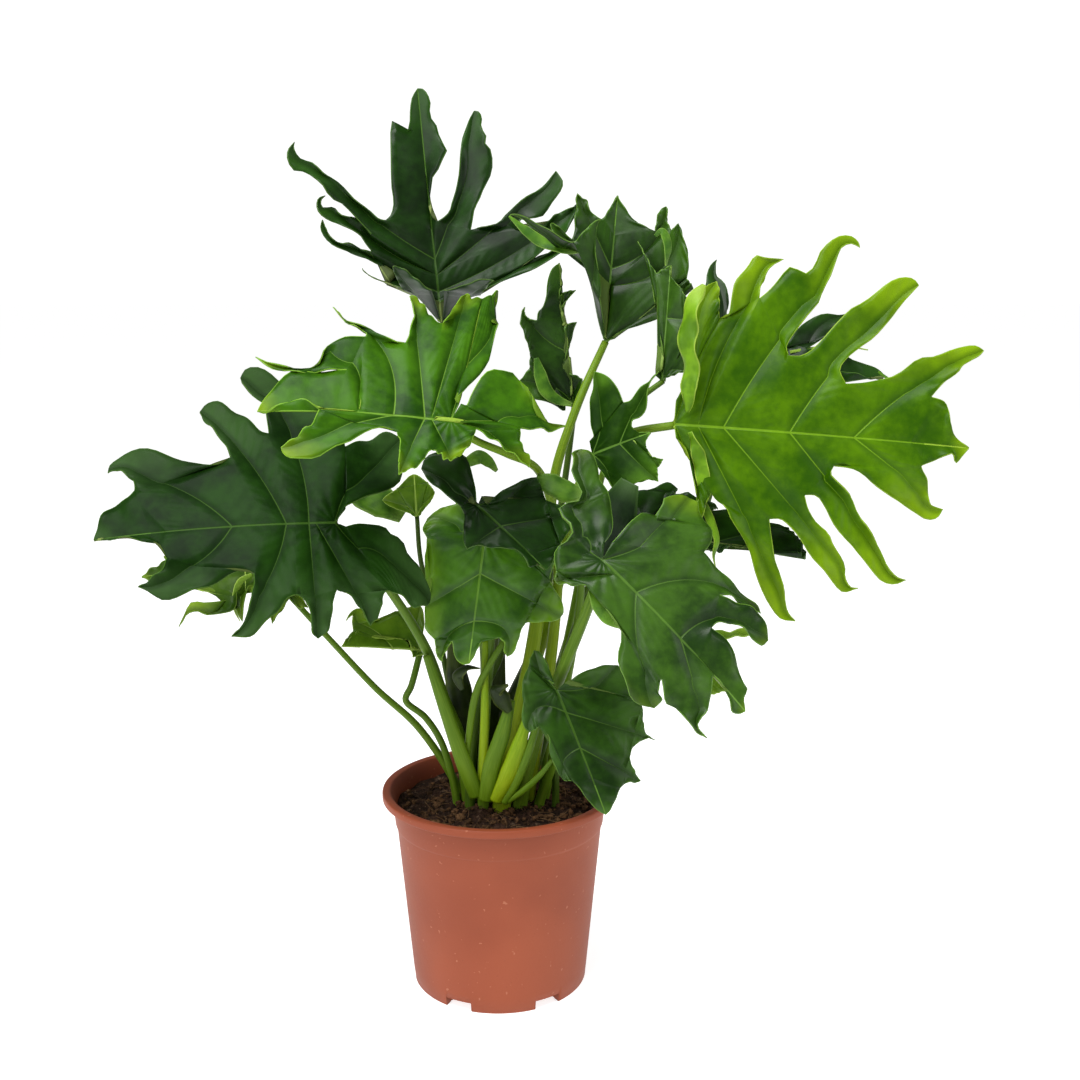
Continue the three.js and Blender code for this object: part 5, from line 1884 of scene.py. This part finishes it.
# A dark leaf part in the shade behind the ear; its dark green is partly painted shade.
make_strip("lobe_behind_ear", [(600, 570, -60), (607, 540, -58), (617, 507, -60), (630, 482, -58)],
           (16, 26, 30, 14), deep_shaded_fold, "leaf_dark", turn=10, twist=15, waves=(1.6, 1.8), seed=17)

# %% A tip at the rear, pale leaves at the left, and threads
make_strip("tip_rear_dark", [(468, 462, -30), (480, 457, -32), (490, 463, -33), (497, 471, -33)],
           (7, 10, 8, 2), fresh_fold, "leaf_dark", twist=30, waves=(0.8, 1), seed=12)
make_strip("pale_left_loop", [(252, 574, 30), (240, 582, 26), (235, 600, 24), (236, 612, 24), (240, 621, 26)],
           (2, 5, 5, 4, 1), pale_fold, "leaf_mid", twist=80, seed=13)
make_strip("pale_left_rear", [(342, 480, 20), (362, 492, 18), (385, 503, 16), (404, 515, 16)],
           (8, 22, 26, 12), fresh_fold, "leaf_mid", turn=10, twist=20, waves=(1.6, 1.4), seed=14)
make_strip("thread_upper", [(790, 352, 102), (812, 348, 103), (838, 345, 104), (868, 350, 104)],
           (2, 2.2, 1.8, 0.8), pale_fold, "leaf_mid", twist=160, seed=15)
make_strip("thread_right", [(878, 372, 96), (892, 381, 93), (906, 389, 92), (917, 394, 92)],
           (2, 2.5, 2, 0.8), fresh_fold, "leaf_dark", twist=160, seed=16)

# %% Flattened stalk bases
BASE_ROWS = 60
BASE_FLATNESS = 0.7
base_lit = stalk_material("lit base", colour(128, 152, 0), colour(104, 138, 4), colour(158, 178, 40))
base_green = stalk_material("green base", colour(86, 116, 8), colour(72, 104, 12), colour(114, 142, 38))


def make_base(name, line, radii, material):
    """A stalk base along a line of (right, down, depth), wider than it is thick."""
    shares = np.linspace(0, 1, BASE_ROWS)
    course = smooth_line(np.array([on_sight_line(*place) for place in line]), shares)
    points, faces = tube(course, spread(radii, shares), BASE_FLATNESS)
    piece = make_piece(name, points, faces, material, "stalk")
    store_along(piece, shares)


BASES = [
    ([(486, 800, -34), (492, 765, -36), (502, 735, -37), (511, 700, -36)], (5.4, 6.2, 5.6, 3.0), base_green),
    ([(496, 801, -37), (508, 774, -39), (520, 742, -40), (528, 716, -39)], (4.6, 6.0, 5.4, 2.8), base_lit),
    ([(504, 803, -38), (515, 784, -39), (526, 758, -40), (537, 726, -39)], (2.6, 3.4, 3.2, 2.2), base_green),
    ([(508, 802, -38), (524, 790, -40), (540, 775, -41), (552, 760, -41)], (1.8, 2.4, 2.2, 1.4), base_green),
    ([(477, 796, -30), (466, 768, -32), (453, 732, -33), (442, 700, -33), (427, 655, -30)],
     (5.6, 6.0, 5.0, 4.2, 3.2), base_green),
    ([(482, 792, -28), (484, 740, -30), (485, 690, -30), (485, 640, -28)], (3.6, 3.2, 2.8, 2.2), base_lit),
    ([(466, 775, -26), (469, 735, -30), (477, 690, -32), (491, 662, -33), (506, 638, -32)],
     (2.0, 2.4, 2.6, 2.4, 2.0), base_green),
]
for index, (line, radii, material) in enumerate(BASES):
    make_base(f"stalk_base_{index}", line, radii, material)
print(len(BASES), "stalk bases in the cluster")

# %% Sheaths
FIRST_SHEATH_SEED = 20
deep_olive = strip_material("old sheath", colour(24, 38, 6), colour(48, 64, 14), colour(82, 94, 34))
SHEATHS = [
    [(476, 795, 2), (468, 740, 0), (460, 690, -2), (452, 640, -4)],
    [(488, 795, 10), (486, 745, 8), (492, 690, 6), (500, 636, 4)],
    [(500, 795, 6), (510, 745, 4), (518, 700, 2), (530, 655, 0)],
]
for index, line in enumerate(SHEATHS):
    make_strip(f"sheath_{index}", line, (16, 22, 20, 6), deep_olive, "stalk", turn=12 * index - 30,
               twist=25, waves=(0.8, 1.5), cup=0.5, seed=FIRST_SHEATH_SEED + index)
make_strip("sheath_tip_left", [(462, 690, -36), (456, 676, -37), (466, 666, -38), (480, 668, -38)],
           (3, 10, 9, 2), deep_olive, "stalk", turn=20, twist=60, cup=0.5, seed=30)
make_strip("sheath_tip_right", [(510, 712, -42), (500, 700, -43), (494, 690, -43), (508, 684, -42)],
           (5, 14, 12, 3), deep_olive, "stalk", turn=10, twist=50, cup=0.5, seed=31)
print(len(SHEATHS), "sheaths and two sheath tips in the cluster")


# %% [markdown]
# ## The pot
#
# The pot is one thin moulding: a tapered wall, a straight collar above a small step, a
# rolled lip, and a foot ring with notches through which water drains. All of it but the
# notches is one profile turned about the axis.

# %% Pot profile
WALL = 1.6
BASE_RADIUS = 63.5
TAPER = 0.0935
COLLAR_BOTTOM = 120
COLLAR_STEP = 1.0
COLLAR_TOP = 139.8
COLLAR_TOP_RADIUS = 77.9


def wall_radius(height):
    return BASE_RADIUS + TAPER * height


def collar_radius(height):
    bottom = wall_radius(COLLAR_BOTTOM) + COLLAR_STEP
    rise = COLLAR_TOP - COLLAR_BOTTOM
    return bottom + (COLLAR_TOP_RADIUS - bottom) * (height - COLLAR_BOTTOM) / rise


OUTSIDE = [
    (0, 0), (24, 0), (25.5, 0.8), (26.5, 3.7), (28, 4.5), (55.5, 4.5), (56.6, 3.8), (57.4, 0.6),
    (58, 0), (63, 0), (63.5, 0.5), (wall_radius(12), 12), (wall_radius(60), 60),
    (wall_radius(118.6), 118.6), (wall_radius(119.4) + 0.1, 119.4), (wall_radius(120) + 0.8, 120.2),
    (collar_radius(121.2), 121.2), (collar_radius(130), 130), (77.9, 138.8), (78.2, 141.4),
    (79.4, 143), (80.4, 143.4), (82.6, 143.2), (83.5, 142.2), (83.6, 140.6), (83.8, 139.9),
    (84.4, 139.7), (84.9, 140.1), (85, 141), (85, 143.8), (84.7, 144.8), (84, 145.3), (80, 145.3),
    (79.2, 145), (78.8, 144.2),
]
INSIDE = [
    (collar_radius(COLLAR_TOP) - WALL, COLLAR_TOP), (collar_radius(130) - WALL, 130),
    (wall_radius(120) - 0.8, 120.6), (wall_radius(119) - WALL, 119), (wall_radius(60) - WALL, 60),
    (wall_radius(8) - WALL, 8), (wall_radius(6.1) - WALL - 1.5, 6.1), (26, 6.1), (23, 1.6), (0, 1.6),
]
print("the pot is", max(height for _, height in OUTSIDE), "mm high and",
      2 * max(radius for radius, _ in OUTSIDE), "mm wide")

# %% Turning a profile
POT_SIDES = 160


def turned(profile, sides):
    """The faces and points of a profile turned about the axis, poles closed by fans."""
    angle = np.linspace(0, 2 * math.pi, sides, endpoint=False)
    points, rings = [], []
    for radius, height in profile:
        start = len(points)
        if radius == 0:
            points.append((0, 0, height))
            rings.append([start] * sides)
        else:
            points.extend((radius * math.cos(a), radius * math.sin(a), height) for a in angle)
            rings.append([start + index for index in range(sides)])
    faces = []
    for ring, after in zip(rings, rings[1:]):
        for index in range(sides):
            turn = (index + 1) % sides
            face = [ring[index], ring[turn], after[turn], after[index]]
            faces.append(list(dict.fromkeys(face)))
    return points, faces


# %% Pot material
def pot_material():
    paint = Paint("pot plastic")
    grain = paint.noise(420, 4, 0.65)
    cloud = paint.noise(9, 3, 0.5)
    specks = paint.noise(900, 2, 0.5).step(0.68, 0.74)
    pale = paint.noise(260, 2, 0.4).step(0.7, 0.76)
    body = paint.mix(cloud.step(0.35, 0.65), colour(134, 62, 35), colour(148, 72, 43))
    body = paint.mix(specks * 0.35, body, colour(98, 48, 34))
    body = paint.mix(pale * 0.35, body, colour(196, 132, 102))
    bump = paint.bump(grain * 0.6 + cloud, 0.18, FINE_BUMP)
    return paint.finish(Base_Color=body, Roughness=0.5 + 0.12 * grain, Normal=bump,
                        Specular_IOR_Level=0.3)


points, faces = turned(OUTSIDE + INSIDE, POT_SIDES)
pot = make_piece("nursery_pot", points, faces, pot_material(), "pot", ["pot"])
print(len(OUTSIDE + INSIDE), "places in the profile,", len(faces), "faces on the pot")

# %% Drain notches
NOTCH_COUNT = 6
NOTCH_AZIMUTH = 3.7
NOTCH_WIDTH = 20
NOTCH_HEIGHT = 6.8
NOTCH_REACH = 14  # of the cutter, through the foot ring
for number in range(NOTCH_COUNT):
    azimuth = math.radians(NOTCH_AZIMUTH + number * 360 / NOTCH_COUNT)
    bpy.ops.mesh.primitive_cube_add(size=1)
    cutter = bpy.context.object
    cutter.scale = (NOTCH_REACH * MM, NOTCH_WIDTH * MM, 2 * NOTCH_HEIGHT * MM)
    cutter.location = (BASE_RADIUS * math.cos(azimuth) * MM, BASE_RADIUS * math.sin(azimuth) * MM, 0)
    cutter.rotation_euler = (0, 0, azimuth)
    notch = pot.modifiers.new("notch", "BOOLEAN")
    notch.operation = "DIFFERENCE"
    notch.object = cutter
    notch.solver = "EXACT"
    bpy.context.view_layer.objects.active = pot
    with bpy.context.temp_override(object=pot, active_object=pot):
        bpy.ops.object.modifier_apply(modifier=notch.name)
    bpy.data.objects.remove(cutter)
print("pot:", len(pot.data.vertices), "points")


# %% [markdown]
# ## Soil
#
# Potting soil is dark peat with crumbs, fibres and bits of bark in it. A bed with lumps
# fills the pot, and loose crumbs lie on top of it.

# %% Height of the soil
MOUND_HEIGHT = 4
MOUND_SPREAD = 1800  # in square millimetres
HUMP_HEIGHT = 1.3


def soil_height(x, y):
    """A low mound in the middle, and humps everywhere."""
    mound = MOUND_HEIGHT * np.exp(-(x**2 + y**2) / MOUND_SPREAD)
    humps = np.sin(0.21 * x + 1) * np.cos(0.17 * y) + 0.6 * np.sin(0.11 * x - 0.23 * y)
    return SOIL_LEVEL + mound + HUMP_HEIGHT * humps


print("the soil is", round(float(soil_height(0, 0)), 1), "mm high in the middle")


# %% Soil material
def soil_material():
    paint = Paint("soil")
    clumps = paint.noise(120, 5, 0.7)
    fine = paint.noise(700, 4, 0.7)
    fibres = paint.noise(260, 3, 0.6).step(0.58, 0.7)
    body = paint.mix(clumps.step(0.35, 0.7), colour(30, 20, 15), colour(74, 52, 40))
    body = paint.mix(fibres * 0.6, body, colour(128, 104, 84))
    body = paint.mix(fine.step(0.62, 0.75) * 0.5, body, colour(150, 128, 108))
    bump = paint.bump(clumps + fine * 0.6, 0.9, 0.002)
    return paint.finish(Base_Color=body, Roughness=0.85 + 0.1 * fine, Normal=bump,
                        Specular_IOR_Level=0.1)


# %% Soil bed
SOIL_BOTTOM = 8  # just above the pot's floor
SOIL_FOOT = 61
SOIL_RADIUS = 75.4
SOIL_RINGS = 60
SOIL_SIDES = 160
SOIL_SEED = 7
CLODS = 0.7  # how far a point lies off the humps, by a normal draw


def soil_points():
    """The surface ring by ring, from the middle out, then the foot and its middle."""
    draw = np.random.default_rng(SOIL_SEED)
    angle = np.linspace(0, 2 * math.pi, SOIL_SIDES, endpoint=False)
    points = [(0, 0, float(soil_height(0, 0)))]
    for ring in range(1, SOIL_RINGS + 1):
        radius = SOIL_RADIUS * (ring / SOIL_RINGS) ** 0.9
        for turn in angle:
            x, y = radius * math.cos(turn), radius * math.sin(turn)
            rough = draw.normal(0, CLODS) if ring < SOIL_RINGS else 0
            points.append((x, y, float(soil_height(x, y)) + rough))
    for x, y in zip(SOIL_FOOT * np.cos(angle), SOIL_FOOT * np.sin(angle)):
        points.append((x, y, SOIL_BOTTOM))
    points.append((0, 0, SOIL_BOTTOM))
    return points


def soil_faces(sides):
    """The faces between those rings, with a fan at either end."""
    faces = [[0, 1 + i, 1 + (i + 1) % sides] for i in range(sides)]
    for ring in range(SOIL_RINGS):
        start = 1 + ring * sides
        for i in range(sides):
            after = (i + 1) % sides
            faces.append([start + i, start + sides + i, start + sides + after, start + after])
    start = 1 + SOIL_RINGS * sides
    last = start + sides
    faces.extend([start + i, last, start + (i + 1) % sides] for i in range(sides))
    return faces


points = soil_points()
make_piece("potting_soil", points, soil_faces(SOIL_SIDES), soil_material(), "soil", ["soil"])
print("soil:", len(points), "points")


# %% [markdown]
# ## Crumbs and fibres
#
# Loose lumps of peat, bits of bark and pale root fibres lie on the bed. Each lump is a
# small ball with its points pushed about, each fibre a thin bent tube. They are scattered
# by a seeded draw, and those of a kind are one piece, since nobody picks them up singly.

# %% One lump
CRUMB_SIDES = 6
CRUMB_POLE = 0.7  # shares of a lump's size
CRUMB_RING = 0.8
CRUMB_LEVEL = 0.35


def crumb(draw, x, y, size):
    """The points and faces of one lump: two caps and two rings, pushed about."""
    angle = np.linspace(0, 2 * math.pi, CRUMB_SIDES, endpoint=False) + draw.uniform(0, 1)
    across, down = np.cos(angle) * CRUMB_RING, np.sin(angle) * CRUMB_RING
    rings = [np.stack([across, down, np.full(CRUMB_SIDES, level)], axis=1)
             for level in (-CRUMB_LEVEL, CRUMB_LEVEL)]
    shape = np.concatenate([[[0, 0, -CRUMB_POLE]], *rings, [[0, 0, CRUMB_POLE]]])
    shape = shape * draw.uniform(0.7, 1.3, shape.shape) * size * draw.uniform(0.6, 1.2, 3)
    faces = []
    last = 2 * CRUMB_SIDES + 1
    for index in range(CRUMB_SIDES):
        after = (index + 1) % CRUMB_SIDES
        low, high = 1 + index, 1 + CRUMB_SIDES + index
        faces.append([0, 1 + after, low])
        faces.append([low, 1 + after, 1 + CRUMB_SIDES + after, high])
        faces.append([high, 1 + CRUMB_SIDES + after, last])
    return shape + (x, y, float(soil_height(x, y)) + size * CRUMB_LEVEL), faces


# %% Scattering and joining up
def scattered(draw, reach):
    """A place within reach of the pot's axis, as likely here as there."""
    radius, turn = reach * math.sqrt(draw.uniform(0, 1)), draw.uniform(0, 2 * math.pi)
    return radius * math.cos(turn), radius * math.sin(turn)


def join_up(parts):
    """Many points and faces as one list of each."""
    points, faces = [], []
    for some, sides in parts:
        faces.extend([corner + len(points) for corner in face] for face in sides)
        points.extend(some)
    return points, faces


def crumb_material(name, dark, light):
    paint = Paint(name)
    grain = paint.noise(500, 4, 0.7)
    patches = paint.noise(60, 2, 0.5)
    body = paint.mix((grain * 0.5 + patches * 0.5).step(0.4, 0.62), dark, light)
    return paint.finish(Base_Color=body, Roughness=0.8 + 0.1 * grain,
                        Normal=paint.bump(grain, 0.6, 0.001), Specular_IOR_Level=0.1)


# %% Loose lumps
CRUMB_SEED = 11
LUMPS = 420
LUMP_MARGIN = 5  # kept clear along the pot's wall
LUMP_SIZES = (1.0, 3.4)

draw = np.random.default_rng(CRUMB_SEED)
lumps = []
for _ in range(LUMPS):
    x, y = scattered(draw, SOIL_RADIUS - LUMP_MARGIN)
    lumps.append(crumb(draw, x, y, draw.uniform(*LUMP_SIZES)))
peat = crumb_material("lumps", colour(50, 35, 22), colour(108, 78, 52))
make_piece("soil_lumps", *join_up(lumps), peat, "soil", smooth=False)
print(LUMPS, "lumps on the soil")

# %% Fibres
FIBRES = 120
FIBRE_MARGIN = 14
FIBRE_LENGTHS = (6, 16)
FIBRE_RADII = (0.14, 0.3)
FIBRE_BEND = 0.25  # either way, as a share of the length
FIBRE_ROWS = 9
FIBRE_LIFT = 1.2


def fibre(draw):
    """A thin tube that lies just above the soil, bent like a shallow bow."""
    x, y = scattered(draw, SOIL_RADIUS - FIBRE_MARGIN)
    turn, length = draw.uniform(0, 2 * math.pi), draw.uniform(*FIBRE_LENGTHS)
    bend = draw.uniform(-FIBRE_BEND, FIBRE_BEND) * length
    steps = np.linspace(-0.5, 0.5, FIBRE_ROWS)
    way = np.array([math.cos(turn), math.sin(turn)])
    line = np.array([x, y]) + np.outer(steps * length, way)
    line += np.outer(bend * (0.25 - steps**2) * 4, (-way[1], way[0]))
    height = soil_height(line[:, 0], line[:, 1]) + FIBRE_LIFT + draw.uniform(0, 1.5)
    course = np.concatenate([line, height[:, None]], axis=1)
    return tube(course, np.full(FIBRE_ROWS, draw.uniform(*FIBRE_RADII)))


fibres = [fibre(draw) for _ in range(FIBRES)]
straw = crumb_material("fibres", colour(66, 46, 30), colour(118, 92, 64))
make_piece("soil_fibres", *join_up(fibres), straw, "soil")
print(FIBRES, "fibres on the soil")


# %% [markdown]
# ## Floor and light
#
# The photo was taken in a studio that is white all round, with wide soft lamps above.
# The floor glows a little of its own, as a lit studio table does, so that it stays white
# and only a faint shadow is left round the foot of the pot. The surround is white where
# the camera sees it, but lights the plant less, so that the leaves keep their depth.

# %% Floor
FLOOR_SIZE = 60
FLOOR_GLOW = 0.8
floor_paint = Paint("floor")
tint = floor_paint.noise(3, 2, 0.5)
floor_colour = floor_paint.mix(tint, (0.6, 0.6, 0.6, 1), (0.62, 0.62, 0.62, 1))
floor_material = floor_paint.finish(Base_Color=floor_colour, Roughness=0.8 + 0.05 * tint,
                                    Specular_IOR_Level=0.0, Emission_Color=(1, 1, 1, 1),
                                    Emission_Strength=FLOOR_GLOW)
bpy.ops.mesh.primitive_plane_add(size=FLOOR_SIZE)
floor = bpy.context.object
floor.name = "floor"
floor.data.materials.append(floor_material)
print("floor:", FLOOR_SIZE, "metres across")

# %% Surround
SURROUND_LIGHT = 0.33
SURROUND_SEEN = 1.1
world = bpy.data.worlds.new("surround")
world.use_nodes = True
surround = world.node_tree
background = surround.nodes["Background"]
background.inputs["Color"].default_value = (1, 1, 1, 1)
camera_rays = surround.nodes.new("ShaderNodeLightPath")
strength = surround.nodes.new("ShaderNodeMapRange")
strength.inputs["To Min"].default_value = SURROUND_LIGHT
strength.inputs["To Max"].default_value = SURROUND_SEEN
surround.links.new(camera_rays.outputs["Is Camera Ray"], strength.inputs["Value"])
surround.links.new(strength.outputs[0], background.inputs["Strength"])
bpy.context.scene.world = world
print("the surround lights with", SURROUND_LIGHT, "and shows as", SURROUND_SEEN)


# %% Lights
def aimed(light, place, target):
    """Puts a lamp at a place in metres and turns it towards a target."""
    light.location = place
    way = np.array(target) - np.array(place)
    flat = math.hypot(way[0], way[1])
    light.rotation_euler = (math.atan2(flat, -way[2]), 0, math.atan2(way[1], way[0]) - math.pi / 2)
    bpy.context.collection.objects.link(light)


def softbox(name, place, target, size, power):
    lamp = bpy.data.lights.new(name, "AREA")
    lamp.shape = "RECTANGLE"
    lamp.size, lamp.size_y = size
    lamp.energy = power
    aimed(bpy.data.objects.new(name, lamp), place, target)


SOFTBOXES = {  # place and target in metres, width and height, and power in watts
    "overhead": ((-0.5, -0.5, 1.9), (0, 0, 0.35), (1.4, 1.2), 46),
    "front left": ((-1.6, -1.6, 1.3), (0, 0, 0.3), (1.0, 1.4), 21),
    "right": ((1.9, -0.9, 1.2), (0, 0, 0.3), (0.8, 1.4), 12),
}
for name, box in SOFTBOXES.items():
    softbox(name, *box)
bpy.context.scene.view_settings.view_transform = "Standard"
print("softboxes:", ", ".join(SOFTBOXES))
